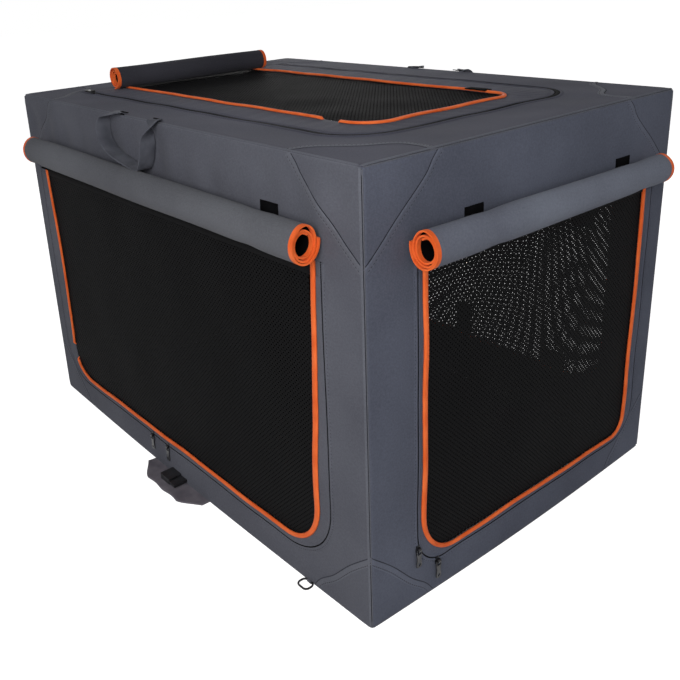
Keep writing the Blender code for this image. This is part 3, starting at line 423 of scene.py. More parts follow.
def outline(rect, radii, step):
    # Rounded rectangle, anticlockwise
    points = []
    for corner, radius in zip(cornersOf(rect), radii):
        points += cornerArc(*corner, radius, max(4, int(radius * math.pi / 2 / (step * 0.6))))
    return evenly(points, step, True)


def openOutline(rect, radii, hinge, step):
    # Round the three sides away from the hinge, anticlockwise
    left, right, low, high = rect
    corners = list(zip(cornersOf(rect), radii))
    turns = (corners[3], corners[0]) if hinge == "top" else corners[:2]
    arcs = [spot for corner, radius in turns for spot in cornerArc(*corner, radius, 12)]
    ends = ((left, high), (right, high)) if hinge == "top" else ((left, low), (left, high))
    return evenly([ends[0], *arcs, ends[1]], step)


def smoothCurve(points, step, samples):
    # A smooth curve through given places, by Catmull and Rom's rule
    points = [np.array(point, float) for point in points]
    padded = [2 * points[0] - points[1]] + points + [2 * points[-1] - points[-2]]
    fine = []
    for a, b, c, d in zip(padded, padded[1:], padded[2:], padded[3:]):
        for t in np.linspace(0, 1, samples, endpoint=False):
            fine.append(0.5 * (2 * b + (c - a) * t + (2 * a - 5 * b + 4 * c - d) * t * t
                               + (3 * b - a - 3 * c + d) * t ** 3))
    fine.append(points[-1])
    return evenly(fine, step)


def pathSides(path, closed=False):
    # For each place on a path the direction to its right
    ahead = np.roll(path, -1, axis=0) - np.roll(path, 1, axis=0)
    if not closed:
        ahead[0] = path[1] - path[0]
        ahead[-1] = path[-1] - path[-2]
    ahead /= np.maximum(np.linalg.norm(ahead, axis=1, keepdims=True), 1e-12)
    return np.stack([ahead[:, 1], -ahead[:, 0]], axis=1)


def ribbonPart(face, path, profile, closed=False, scale=1.0):
    # A profile of (offset to the right of the path, lift) carried along a path on a face
    path = np.asarray(path, float)
    side = pathSides(path, closed)
    offsets, lifts = np.array(profile, float).T
    offsets = offsets[None, :] * (np.zeros(len(path)) + scale)[:, None]
    u = path[:, None, 0] + side[:, None, 0] * offsets
    v = path[:, None, 1] + side[:, None, 1] * offsets
    points = onBox(face, u, v, np.broadcast_to(lifts, u.shape))
    return points.reshape(-1, 3), tubeFaces(len(path), len(profile), closed)


def roundProfile(width, thickness, base, sides=10, power=0.75):
    profile = []
    for index in range(sides):
        angle = 2 * math.pi * index / sides
        across = math.copysign(abs(math.cos(angle)) ** power, math.cos(angle))
        rise = math.copysign(abs(math.sin(angle)) ** power, math.sin(angle))
        profile.append((width / 2 * across, base + thickness / 2 * (1 + rise)))
    return profile


def signedDistance(u, v, rect, radii):
    # Distance to a rounded rectangle's edge, less than nothing inside it
    left, right, low, high = rect
    rightLow, rightHigh, leftHigh, leftLow = radii
    cu, cv = (left + right) / 2, (low + high) / 2
    radius = np.where(u > cu, np.where(v > cv, rightHigh, rightLow), np.where(v > cv, leftHigh, leftLow))
    du = np.abs(u - cu) - (right - left) / 2 + radius
    dv = np.abs(v - cv) - (high - low) / 2 + radius
    outside = np.hypot(np.maximum(du, 0), np.maximum(dv, 0))
    return outside + np.minimum(np.maximum(du, dv), 0) - radius


def axisMarks(low, high, step):
    # Grid marks across a panel, closer together where it turns round the box's edge
    radius = crate["edgeRadius"]
    bend = [0, 0.3, 0.6, 0.85]
    middle = np.linspace(low + radius, high - radius, max(2, int((high - low - 2 * radius) / step)) + 1)
    return np.concatenate([[low + radius * share for share in bend], middle,
                           [high - radius * share for share in bend[::-1]]])


def clothPanel(name, face, hole, radii, material):
    # One cut panel of the cover, turned round the box's edges, with an opening for its door
    left, right, low, high = faceSpan[face]
    us = axisMarks(left, right, crate["gridStep"])
    vs = axisMarks(low, high, crate["gridStep"])
    for marks, edges in ((us, hole[:2]), (vs, hole[2:])) if hole else ():
        for edge in edges:
            marks[np.argmin(np.abs(marks - edge))] = edge
    grid = np.meshgrid(us, vs)
    u, v = (part.ravel() for part in grid)
    polygons = gridFaces(*grid[0].shape, flip=face in ("far", "back", "floor"))
    used = range(len(u))
    if hole:
        middles = [np.mean(part[np.array(polygons)], axis=1) for part in (u, v)]
        outside = signedDistance(*middles, hole, radii) > 0
        kept = [quad for quad, stays in zip(polygons, outside) if stays]
        cut = {index for quad, stays in zip(polygons, outside) if not stays for index in quad}
        rim = sorted(cut & {index for quad in kept for index in quad})
        tiny = 1e-5
        for _ in range(3):
            # The rim's points slide on to the opening's rounded edge
            far = signedDistance(u[rim], v[rim], hole, radii)
            slopeU = (signedDistance(u[rim] + tiny, v[rim], hole, radii) - far) / tiny
            slopeV = (signedDistance(u[rim], v[rim] + tiny, hole, radii) - far) / tiny
            u[rim] -= far * slopeU
            v[rim] -= far * slopeV
        used = sorted({index for quad in kept for index in quad})
        renumber = {index: place for place, index in enumerate(used)}
        polygons = [tuple(renumber[index] for index in quad) for quad in kept]
    piece = newPiece(name, onBox(face, u, v)[list(used)], polygons, material, recalc=False)
    thicken(piece, crate["clothThick"], lined=True)
    return piece


def netPart(face, rect, radii, pitch, strand, depth, lift, seed):
    # A warp knitted net: diamond holes in staggered rows, with walls as deep as the yarn is thick
    left, right, low, high = rect
    across, up = pitch * math.sqrt(2), pitch / math.sqrt(2)
    rows = int((high - low) / up) + 2
    columns = int((right - left) / across) + 2
    row, column = np.meshgrid(np.arange(rows), np.arange(columns), indexing="ij")
    cu = left + (column + 0.5 * (row % 2)) * across
    cv = low + row * up
    inside = signedDistance(cu, cv, rect, radii) < -pitch * 0.2
    half = (pitch - strand) / math.sqrt(2)
    verts, polygons = [], []
    index = -np.ones((rows + 1, columns + 1), int)
    for r, c in zip(*np.nonzero(inside)):
        index[r, c] = len(verts)
        for du, dv in ((half, 0), (0, half), (-half, 0), (0, -half)):
            verts.append((cu[r, c] + du, cv[r, c] + dv))
    count = len(verts)
    for r, c in zip(*np.nonzero(inside)):
        here = index[r, c]
        odd = r % 2
        upRight = index[r + 1, c + odd]
        upLeft = index[r + 1, c + odd - 1] if c + odd > 0 else -1
        downRight = index[r - 1, c + odd] if r else -1
        east = index[r, c + 1]
        if upRight >= 0:
            polygons.append((here, upRight + 3, upRight + 2, here + 1))
        if upLeft >= 0:
            polygons.append((here + 1, upLeft, upLeft + 3, here + 2))
        if min(upRight, downRight, east) >= 0:
            polygons.append((here, downRight + 1, east + 2, upRight + 3))
        for corner in range(4) if depth else ():
            a, b = here + corner, here + (corner + 1) % 4
            polygons.append((a, b, b + count, a + count))
    verts = np.array(verts)
    rise = lift + np.random.default_rng(seed).uniform(-0.12, 0.12, count) * mm
    points = onBox(face, *verts.T, rise)
    if depth:
        points = np.vstack([points, onBox(face, *verts.T, rise - depth)])
    return points, polygons


# Seams: felled seams with their stitches, at the corner patches and along the box's edges
seam = {
    "flapWide": 9.5 * mm,
    "jointWide": 1.2 * mm,
    "stitchLong": 3.2 * mm,
    "stitchPitch": 5.0 * mm,
    "stitchWide": 0.8 * mm,
    "stitchPlace": 7.0 * mm,
    "stitchRise": 0.45 * mm,
    "lowerFlat": 0.45,          # the lower patches' seams stand up only this share as high
    "edgeShadeWide": 1.45,         # the upright edges have a wider line of painted shade
    "bendMargin": 3 * mm,       # edge seams end this far before a corner
    # distances in millimetres from the corner along the face's two edges
    "topPatch": ((121, 0), (109, 12), (96, 30), (54, 66), (22, 97), (0, 116)),
    "roofPatch": ((124, 0), (113, 26), (88, 48), (69, 69), (58, 91), (48, 104), (30, 109), (0, 106)),
    "bottomPatch": ((0, 113), (38, 79), (72, 42), (98, 20), (113, 0)),
}


def flapPart(face, path, towards, rise):
    # The seam allowance lies over to one side of the joint, and its stitches press it down
    middle = len(path) // 2
    turned = 1 if np.dot(pathSides(path)[middle], np.array(towards) - path[middle]) > 0 else -1
    profile = [(share * seam["flapWide"] * turned, lift * rise * mm) for share, lift in (
        (0, -0.3), (0.02, 0.5), (0.13, 0.95), (0.40, 0.75), (0.62, 0.35), (0.74, 0.18),
        (0.84, 0.5), (0.94, 0.4), (1.0, -0.3))]
    # The joint is a narrow dark ribbon: painted shade in the seam's crease
    joint = [(share * seam["jointWide"] * turned, lift * mm) for share, lift in (
        (-1.0, -0.2), (-0.9, 0.22), (0.0, 0.25), (0.1, -0.2))]
    return (ribbonPart(face, path, profile), ribbonPart(face, path, joint),
            stitchPart(face, path, seam["stitchPlace"] * turned, 0.12 * mm))


def stitchPart(face, path, offset, lift):
    line = shifted(path, offset)
    along = np.concatenate([[0], np.cumsum(np.linalg.norm(np.diff(line, axis=0), axis=1))])
    verts, polygons = [], []
    start = seam["stitchPitch"] / 2
    while start + seam["stitchLong"] < along[-1]:
        marks = [start, start + seam["stitchLong"] / 2, start + seam["stitchLong"]]
        spots = np.stack([np.interp(marks, along, line[:, axis]) for axis in (0, 1)], axis=1)
        ahead = spots[2] - spots[0]
        ahead /= max(np.linalg.norm(ahead), 1e-9)
        across = np.array([ahead[1], -ahead[0]]) * seam["stitchWide"] / 2
        first = len(verts)
        for spot, rise in zip(spots, (0.0, seam["stitchRise"], 0.0)):
            verts += [(*(spot - across), lift + rise), (*(spot + across), lift + rise),
                      (*spot, lift - 0.5 * mm)]
        for a in (first, first + 3):
            polygons += [(a, a + 1, a + 4, a + 3), (a + 1, a + 2, a + 5, a + 4), (a + 2, a, a + 3, a + 5)]
        polygons += [(first, first + 2, first + 1), (first + 6, first + 7, first + 8)]
        start += seam["stitchPitch"]
    return onBox(face, *np.array(verts).T), polygons


# Doors: rectangles read from the solids, on their own faces

def rectOf(node, face):
    low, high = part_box(node)
    uIndex, vIndex = (axis.index(1) for axis in faceAxes[face][:2])
    return low[uIndex], high[uIndex], low[vIndex], high[vIndex]


def grown(rect, by):
    left, right, low, high = rect
    return left - by, right + by, low - by, high + by


def lessened(radii, by):
    return [max(3 * mm, radius - by) for radius in radii]


# Radii are right low, right high, left high, left low; widths are shares of the tape's own
doorUsual = {
    "slot": 2.0 * mm,           # width of the zip's slot
    "bow": (0.0, 0.0, 0.0),     # the tape's left side inwards, right top outwards, right bottom inwards
    "leftIn": 0.0,              # how far the tape's left side stands in, above its bottom quarter
    "rightWide": 0.0,
    "leftWide": 0.0,
    "tucked": None,             # a side, and the stretch of it where cloth covers the tape
}
doorSet = {
    "side_door": {"face": "near", "hinge": "top", "tone": greyOxford,
                  "zipRadii": (0.098, 0.004, 0.004, 0.080), "tapeRadii": (0.084, 0.006, 0.006, 0.078),
                  "bow": (11 * mm, 8 * mm, 5 * mm), "leftIn": 8 * mm,
                  "bottomWide": 0.85, "rightWide": 0.2, "leftWide": -0.3, "tucked": ("left", 0.090, 0.124)},
    "front_door": {"face": "front", "hinge": "top", "tone": blueGreyOxford, "bottomWide": 0.75,
                   "zipRadii": (0.052, 0.004, 0.004, 0.055), "tapeRadii": (0.034, 0.006, 0.006, 0.072)},
    "roof_door": {"face": "roof", "hinge": "left", "tone": paintedShadeRoofOxford, "bottomWide": 0.62,
                  "zipRadii": (0.075, 0.075, 0.006, 0.006), "tapeRadii": (0.050, 0.040, 0.006, 0.006),
                  # The roof's wide slot bares a wide strip of black zip tape: partly the tape, widened as
                  # painted shade under the border
                  "slot": 8.5 * mm, "tucked": ("low", 0.213, 0.253)},
}
borderForm = {"step": 4 * mm, "fineStep": 1.5 * mm, "rows": 7, "underTape": 5 * mm,
              "pucker": 0.45 * mm, "puckerPitch": 31 * mm,
              "wander": 0.9, "lift": 0.25 * mm}
net = {"pitch": 4.9 * mm, "strand": 2.95 * mm, "depth": 0.8 * mm, "underTape": 3 * mm, "lift": -0.5 * mm,
       "overHinge": 2 * mm, "finePitch": 3.3 * mm, "fineStrand": 1.8 * mm, "fineLift": -0.3 * mm}
tape = {"width": 8 * mm, "thick": 4.2 * mm, "base": -0.4 * mm, "wobble": 0.5 * mm, "tuckDeep": 5.5 * mm,
        "tuckFade": 6 * mm, "nearSide": 30 * mm, "leanWide": 0.12}
zipLine = {"tapeOver": 0.5 * mm, "hemWidth": 5.5 * mm, "hemRise": 1.25 * mm, "stitchShare": 0.72,
           "toothPitch": 2.2 * mm, "toothWide": 2.0 * mm, "toothWidest": 5 * mm, "toothLong": 1.5 * mm,
           "toothRise": 0.9 * mm, "toothFoot": -0.3 * mm, "toothTop": 0.75}
hingeSet = {"stub": 18 * mm, "lap": 2 * mm, "inside": 2.5 * mm, "lift": 1.3 * mm, "columns": 60,
            "clothLap": 1 * mm}  # the wall's cloth laps this far over a door's hinge edge


def wobbled(path, seed, closed=False):
    along = np.arange(len(path)) / len(path)
    spin = random.Random(seed)
    sway = sum(np.sin(2 * math.pi * (count * along + spin.random())) / (1 + 0.1 * count)
               for count in (2, 3, 5, 8, 13))
    return path + pathSides(path, closed) * (sway * tape["wobble"])[:, None]


def opened(rect, by, hinge):
    # The rectangle shrunk on the three sides away from the hinge
    left, right, low, high = rect
    if hinge == "top":
        return left + by, right - by, low + by, high
    return left, right - by, low + by, high - by


def shifted(path, offset):
    return path + pathSides(path) * offset


def bowed(points, rect, setup):
    # The sewer's line: the left side bends in, the right one leans out on top and in at the bottom
    points = np.array(points, float)
    u, v = points[..., 0].copy(), points[..., 1]
    left, right, low, high = rect
    leftBend, topLean, bottomBend = setup["bow"]
    share = np.clip((high - v) / (high - low), 0, 1)
    wide = tape["leanWide"]
    nearLeft = np.clip((left + wide - u) / wide, 0, 1) ** 0.5
    nearRight = np.clip((u - right + wide) / wide, 0, 1) ** 0.5
    leftIn = leftBend * np.sin(math.pi * share) + setup["leftIn"] * smooth((1 - share) / 0.25)
    rightOut = (topLean * np.clip(1 - share / 0.5, 0, 1)
                - bottomBend * np.sin(math.pi * np.clip((share - 0.5) / 0.5, 0, 1)))
    points[..., 0] = u + nearLeft * leftIn + nearRight * rightOut
    return points


def matchedTo(outerPath, innerPath):
    # For each place on the outer path the nearest inner one, evened out along the way
    found = np.array([innerPath[int(np.argmin(np.linalg.norm(innerPath - place, axis=1)))]
                      for place in outerPath])
    for _ in range(4):
        found[1:-1] = (found[:-2] + found[1:-1] * 2 + found[2:]) / 4
    return found


def tapeWidths(path, rect, setup):
    # The tape as the photo shows it: slimmer where it runs level, wider low on the right
    level = np.abs(pathSides(path)[:, 1])
    nearRight = smooth((path[:, 0] - rect[1] + tape["nearSide"]) / 0.01)
    lowRight = nearRight * smooth((rect[3] - path[:, 1]) / 0.2)
    scale = 1 - (1 - setup["bottomWide"]) * level + setup["rightWide"] * lowRight * (1 - level)
    return scale + setup["leftWide"] * (path[:, 0] < rect[0] + 0.05) * (1 - level)


def tuckShares(path, rect, tucked):
    if not tucked:
        return np.zeros(len(path))
    side, start, stop = tucked
    along = 1 if side == "left" else 0
    near = path[:, 1 - along] < rect[2 - 2 * along] + tape["nearSide"]
    value = path[:, along]
    return near * smooth((value - start) / tape["tuckFade"]) * smooth((stop - value) / tape["tuckFade"])


def tapePart(face, path, closed=False, tucks=None, scale=1.0):
    # Tape folded over the edge: a full round profile that sinks away where the cloth lies over it
    profile = roundProfile(tape["width"], tape["thick"], tape["base"])
    points, polygons = ribbonPart(face, path, profile, closed, scale)
    if tucks is not None:
        sunk = np.repeat(tucks, len(profile))[:, None] * tape["tuckDeep"]
        points = points - np.sign(faceAxes[face][2]) * sunk
    return points, polygons


def makeCoil(name, face, path, wide=zipLine["toothWide"]):
    # Nylon coil of the zip: one turn after another along the slot
    verts, polygons = [], []
    for place, across in zip(path, pathSides(path)):
        ahead = np.array([-across[1], across[0]])
        start = len(verts)
        for lift, shrink in ((zipLine["toothFoot"], 1.0), (zipLine["toothRise"], zipLine["toothTop"])):
            for su, sv in ((-1, -1), (1, -1), (1, 1), (-1, 1)):
                spot = place + across * su * wide / 2 * shrink
                spot = spot + ahead * sv * zipLine["toothLong"] / 2 * shrink
                verts.append((*spot, lift))
        for quad in ((3, 2, 1, 0), (4, 5, 6, 7), (0, 1, 5, 4), (1, 2, 6, 5), (2, 3, 7, 6), (3, 0, 4, 7)):
            polygons.append(tuple(start + index for index in quad))
    return newPiece(name, onBox(face, *np.array(verts).T), polygons, coilNylon, False)


def hemPart(face, path, slot, side):
    # A folded hem seen across: steep beside the zip, pressed down at its stitches
    inner, width, rise = side * slot, side * zipLine["hemWidth"], zipLine["hemRise"]
    profile = [(inner + width * share, lift) for share, lift in (
        (0, -0.5 * mm), (0, rise * 0.6), (0.15, rise), (0.5, rise * 0.8), (0.72, rise * 0.15),
        (0.85, rise * 0.4), (1, 0.05 * mm), (1, -0.5 * mm))]
    return ribbonPart(face, path, profile)


def hingeParts(name, face, tone, top, tapePath, zipPath, slot):
    # Above the hinge the wall carries the tape, the hems and the black net's edge on, behind the roll
    stub, columns = hingeSet["stub"], hingeSet["columns"]
    along = np.linspace(tapePath[0, 0] + hingeSet["inside"], tapePath[-1, 0] - hingeSet["inside"], columns)
    u, v = np.meshgrid(along, (top - hingeSet["lap"], top + 5 * mm, top + stub - 3 * mm))
    strip = newPiece(name + "_upper_net_edge", onBox(face, u, v, hingeSet["lift"]).reshape(-1, 3),
                     gridFaces(3, columns, flip=face != "near"), netEdge, recalc=False)
    thicken(strip, crate["clothThick"] / 2)
    onWall(strip, face, "black_net")
    stubs, hems, coils = [], [], []
    for end, zipEnd in ((tapePath[0], zipPath[0]), (tapePath[-1], zipPath[-1])):
        tapeLine, line = (evenly([(u, top - 1 * mm), (u, top + stub)], step)
                          for u, step in ((end[0], 4 * mm), (zipEnd[0], 3 * mm)))
        stubs.append(tapePart(face, tapeLine))
        hems += [hemPart(face, line, slot, side) for side in (-1, 1)]
        coils.append(evenly(line, zipLine["toothPitch"]))
    onWall(joinParts(name + "_upper_tape", stubs, orangeTape), face, "orange_binding")
    onWall(joinParts(name + "_upper_hems", hems, tone), face, "grey_oxford")
    for index, line in enumerate(coils):
        onWall(makeCoil(name + "_upper_coil_" + str(index + 1), face, line), face, "black_zip")


def makeDoor(name, setup):
    face, hinge, tone = setup["face"], setup["hinge"], setup["tone"]
    zipRect, tapeRect = rectOf(name + "_border", face), rectOf(name + "_binding", face)
    tapeRect = (*tapeRect[:3], zipRect[3]) if hinge == "top" else (zipRect[0], *tapeRect[1:])
    onDoor = onBody if face == "roof" else onFoldingBody

    # Border cloth between the zip and the tape
    slot, step = setup["slot"] / 2, borderForm["step"]
    zipPath = openOutline(zipRect, setup["zipRadii"], hinge, step)
    outerPath = shifted(zipPath, -slot)
    under = borderForm["underTape"]
    innerRect = opened(tapeRect, under, hinge)
    innerPath = openOutline(innerRect, lessened(setup["tapeRadii"], under), hinge, borderForm["fineStep"])
    innerPath = matchedTo(outerPath, bowed(innerPath, tapeRect, setup))
    share = np.linspace(0, 1, borderForm["rows"])[:, None]
    u, v = (outerPath[:, axis] * (1 - share) + innerPath[:, axis] * share for axis in (0, 1))
    phase = np.arange(len(outerPath))[None, :] * step / borderForm["puckerPitch"] + share * borderForm["wander"]
    pull = borderForm["pucker"] * np.sin(2 * math.pi * phase) * np.sin(math.pi * share)
    border = newPiece(name + "_cloth", onBox(face, u, v, pull + borderForm["lift"]).reshape(-1, 3),
                      gridFaces(*u.shape), tone, recalc=False)
    thicken(border, crate["clothThick"], lined=True)
    onDoor(border, name, "grey_oxford", [name + "_border"])

    # Orange tape round the net, and the net itself
    half = tape["width"] / 2
    tapePath = openOutline(opened(tapeRect, half, hinge), lessened(setup["tapeRadii"], half), hinge, step)
    tapePath = bowed(wobbled(tapePath, len(name)), tapeRect, setup)
    tapePiece = newPiece(name + "_tape", *tapePart(
        face, tapePath, tucks=tuckShares(tapePath, tapeRect, setup["tucked"]),
        scale=tapeWidths(tapePath, tapeRect, setup)), orangeTape)
    onDoor(tapePiece, name, "orange_binding", [name + "_binding"])
    left, right, low, high = grown(tapeRect, -net["underTape"])
    if hinge == "top":
        high = zipRect[3] + net["overHinge"]
    else:
        left = zipRect[0] - net["overHinge"]
    netPiece = newPiece(name + "_net", *netPart(
        face, (left, right, low, high), lessened(setup["tapeRadii"], net["underTape"]), net["pitch"],
        net["strand"], net["depth"], net["lift"], len(name)), roofYarn if face == "roof" else netYarn,
        False, recalc=False)
    onDoor(netPiece, name, "black_net", [name + "_mesh"])

    # Folded hems on both sides of the zip's slot, and the coil between them
    onDoor(newPiece(name + "_zip_hem", *hemPart(face, zipPath, slot, -1), tone), name, "grey_oxford")
    onWall(newPiece(name + "_wall_zip_hem", *hemPart(face, zipPath, slot, 1), tone), face, "grey_oxford")
    # On the roof the wide slot makes this tape a wide dark strip: painted shade under the raised border
    half = slot + zipLine["tapeOver"]
    zipTape = [(-half, -0.2 * mm), (-half, 0.4 * mm), (half, 0.4 * mm), (half, -0.2 * mm)]
    onWall(newPiece(name + "_zip_tape", *ribbonPart(face, zipPath, zipTape), blackTape), face, "black_zip")
    onWall(makeCoil(name + "_zip_coil", face, evenly(zipPath, zipLine["toothPitch"]),
                    min(slot * 2, zipLine["toothWidest"])), face, "black_zip")
    stitches = stitchPart(face, zipPath, slot + zipLine["hemWidth"] * zipLine["stitchShare"], 0.1 * mm)
    onWall(newPiece(name + "_zip_stitches", *stitches, paleThreadAndJointShade, False), face, "grey_oxford")
    if hinge == "top":
        hingeParts(name, face, tone, zipRect[3], tapePath, zipPath, slot)
    return zipRect


zipRects = {name: makeDoor(name, {**doorUsual, **setup}) for name, setup in doorSet.items()}
print("doors made")

# Far window: a net sewn into the far wall for good
farRect = rectOf("far_window_binding", "far")
farRadii = (0.062, 0.030, 0.030, 0.062)
tapeHalf = tape["width"] / 2
farPath = wobbled(outline(grown(farRect, -tapeHalf), lessened(farRadii, tapeHalf), 5 * mm), 31, True)
farTape = newPiece("far_window_tape", *tapePart("far", farPath, closed=True), orangeTape)
onFoldingBody(farTape, "base", "orange_binding", ["far_window_binding"])
farArea = grown(farRect, -net["underTape"])
farNet = newPiece("far_window_net", *netPart(
    "far", farArea, lessened(farRadii, net["underTape"]), net["finePitch"], net["fineStrand"], 0,
    net["fineLift"], 9), netYarn, False, recalc=False)
onFoldingBody(farNet, "base", "black_net", ["far_window_mesh"])


# Cover panels

def doorHole(doorName):
    # The opening reaches half a zip's slot past the door, but at the hinge the cloth laps over the door
    half = doorUsual["slot"] / 2
    left, right, low, high = grown(zipRects[doorName], half)
    if doorSet[doorName]["hinge"] == "top":
        return left, right, low, high - half - hingeSet["clothLap"]
    return left + half + hingeSet["clothLap"], right, low, high


panelSet = {
    # face, cloth, opening, its radii and the node that the panel replaces
    "near_side_panel": ("near", greyOxford, doorHole("side_door"), doorSet["side_door"]["zipRadii"],
                        "near_side_wall"),
    "far_side_panel": ("far", greyOxford, grown(farRect, -3 * mm), farRadii, "far_side_wall"),
    "front_panel": ("front", blueGreyOxford, doorHole("front_door"), doorSet["front_door"]["zipRadii"],
                    "front_wall"),
    "back_panel": ("back", blueGreyOxford, None, None, "back_wall"),
    "roof_cloth": ("roof", paintedShadeRoofOxford, doorHole("roof_door"), doorSet["roof_door"]["zipRadii"],
                   "roof_panel"),
    "floor_cloth": ("floor", greyOxford, None, None, "floor_panel"),
}
for panelName, (face, tone, hole, radii, node) in panelSet.items():
    panel = clothPanel(panelName, face, hole, radii, tone)
    if face == "floor":
        onBody(panel, "base", "grey_oxford", [node])
    else:
        onWall(panel, face, "grey_oxford", [node])
    left, right, low, high = faceSpan[face]
    left, right, low, high = hole or (0, 0, 0, 0)
print("panels made")


# Seams: where each face has a ridge along an edge, and whether a dark line of painted shade shows in its joint
edgeSeams = {
    "near": (("left", True), ("right", True)),
    "far": (("left", True), ("right", True)),
    "front": (),
    "back": (),
    "roof": (("left", True), ("right", True), ("low", False), ("high", False)),
    "floor": (("low", True), ("high", True), ("left", True), ("right", True)),
}


def edgeSeamPart(face, edge, crisp):
    left, right, low, high = faceSpan[face]
    margin = seam["bendMargin"]
    if edge in ("left", "right"):
        u = left if edge == "left" else right
        ends = [(u, low + margin), (u, high - margin)]
    else:
        v = low if edge == "low" else high
        ends = [(left + margin, v), (right - margin, v)]
    path = evenly(ends, 10 * mm if face == "roof" else 12 * mm)
    rise = 1.15 if crisp else 0.4
    wide = seam["edgeShadeWide"] if face in ("near", "far") else 1.0
    profile = [(place * mm, lift * mm) for place, lift in (
        (-5.2, -0.3), (-4.6, rise * 0.6), (-2.4, rise), (-1.0, rise * 0.7), (-0.6, -0.1), (0.6, -0.1),
        (1.0, rise * 0.7), (2.4, rise), (4.6, rise * 0.6), (5.2, -0.3))]
    # A dark ribbon over the groove: painted shade
    thread = [(place * mm, lift * mm) for place, lift in (
        (-0.75 * wide, -0.3), (-0.6 * wide, 0.12), (0.6 * wide, 0.12), (0.75 * wide, -0.3))]
    return ribbonPart(face, path, profile), ribbonPart(face, path, thread)


for face, edges in edgeSeams.items():
    left, right, low, high = faceSpan[face]
    flaps, threads, softJointShades, edgeGrooveShades, stitches = [], [], [], [], []
    for atRight, atTop in ((0, 0), (0, 1), (1, 0), (1, 1)) if face != "floor" else ():
        upper = atTop or face == "roof"
        patch = seam["roofPatch" if face == "roof" else "topPatch" if atTop else "bottomPatch"]
        path = smoothCurve([((right - a * mm) if atRight else (left + a * mm),
                             (high - b * mm) if atTop else (low + b * mm)) for a, b in patch], 5 * mm, 12)
        # The allowance lies towards the face's middle, but at a lower patch towards the corner
        middle, corner = ((left + right) / 2, (low + high) / 2), (right if atRight else left, low)
        towards, rise = (middle, 1.0) if upper else (corner, seam["lowerFlat"])
        flap, joint, dashes = flapPart(face, path, towards, rise)
        flaps.append(flap)
        # Each joint is a dark ribbon of painted shade, softer at the lower patches
        (threads if upper else softJointShades).append(joint)
        stitches.append(dashes)
    for edge, crisp in edges:
        ridge, thread = edgeSeamPart(face, edge, crisp)
        flaps.append(ridge)
        if crisp:
            (edgeGrooveShades if face in ("near", "far") else threads).append(thread)
    for ending, parts, material, smoothFaces in (
            ("_seam_flaps", flaps, highlightSeamClothEnds if face in ("front", "back") else highlightSeamCloth, True),
            ("_seam_joints", threads, seamJointShade, True),
            # The lower joints: a softer painted shade
            ("_lower_seam_joints", softJointShades, paleThreadAndJointShade, True),
            ("_edge_seam_groove_shades", edgeGrooveShades, seamGrooveShade, True),
            ("_seam_stitches", stitches, paleThreadAndJointShade, False)):
        if parts:
            onWall(joinParts(face + ending, parts, material, smoothFaces), face, "grey_oxford")
print("seams sewn")


# Rolled covers: one sheet wound about three times, with an orange tape folded over each end.
# end and gapAt are angles in degrees; rise lifts the roll at its start, middle and stop; taper thins
# it towards the start and the stop; cut is the sheet's flat length.
rollUsual = {"turns": 2.9, "turn": -1, "rise": (0.0, 0.0, 0.0), "longer": 0.0, "innerRadius": 13.7 * mm,
             "cut": 0.42}
rollSet = {
    "side_roll": {"axis": 0, "body": "side_cover", "cloth": rollOxford, "turn": 1, "end": 12,
                  "oval": (0.83, 0.985), "shift": (0, -2.5 * mm), "rise": (6 * mm, 3.5 * mm, 0.0),
                  "longer": 4 * mm, "outerRadius": 23.9 * mm, "gap": 3.2 * mm, "gapAt": 62,
                  "taper": (0.3 * mm, 0.0), "sag": 1.6 * mm},
    "front_roll": {"axis": 1, "body": "front_cover", "cloth": paintedLightFrontRollOxford, "end": 162,
                   # The front roll's pale cloth is painted light
                   "oval": (0.88, 0.985), "shift": (0, 0), "rise": (-1.3 * mm, -1.3 * mm, -1.3 * mm),
                   "outerRadius": 23.3 * mm, "gap": 3.0 * mm, "gapAt": 112,
                   "taper": (0.0, 2.4 * mm), "sag": 1.2 * mm},
    # The roof roll's dark cloth is painted shade
    "roof_roll": {"axis": 1, "body": "roof_door", "cloth": paintedShadeRoofRollOxford, "turns": 2.6, "end": 270,
                  "oval": (0.94, 1.0), "shift": (-3 * mm, -3 * mm), "innerRadius": 8.6 * mm,
                  "outerRadius": 18.9 * mm, "gap": 2.0 * mm, "gapAt": 120,
                  "taper": (0.0, 1.0 * mm), "cut": 0.29, "sag": 0.8 * mm},
}
rollForm = {"cloth": 1.7 * mm, "band": 2.2 * mm, "bandLong": 6.5 * mm, "bandOver": 1 * mm, "perTurn": 36,
            "section": 9 * mm, "sunkEnd": 5 * mm, "sunkLong": 70 * mm, "pinch": 1.3 * mm,
            "pinchWide": 20 * mm, "looseTurns": 1.15, "gapWide": 52, "waver": 0.35 * mm}
strapTape = {"wide": 36 * mm, "thick": 1.6 * mm, "offRoll": 2.6 * mm, "offWall": 0.6 * mm,
             "leaves": 12 * mm,  # height above the roll's middle at which a strap leaves the wall
             # how far a strap's top lies below the node's own top
             "below": {"side_roll_strap_1": 10 * mm, "side_roll_strap_2": 0.5 * mm,
                       "front_roll_strap_1": 5.5 * mm, "front_roll_strap_2": 5.5 * mm}}


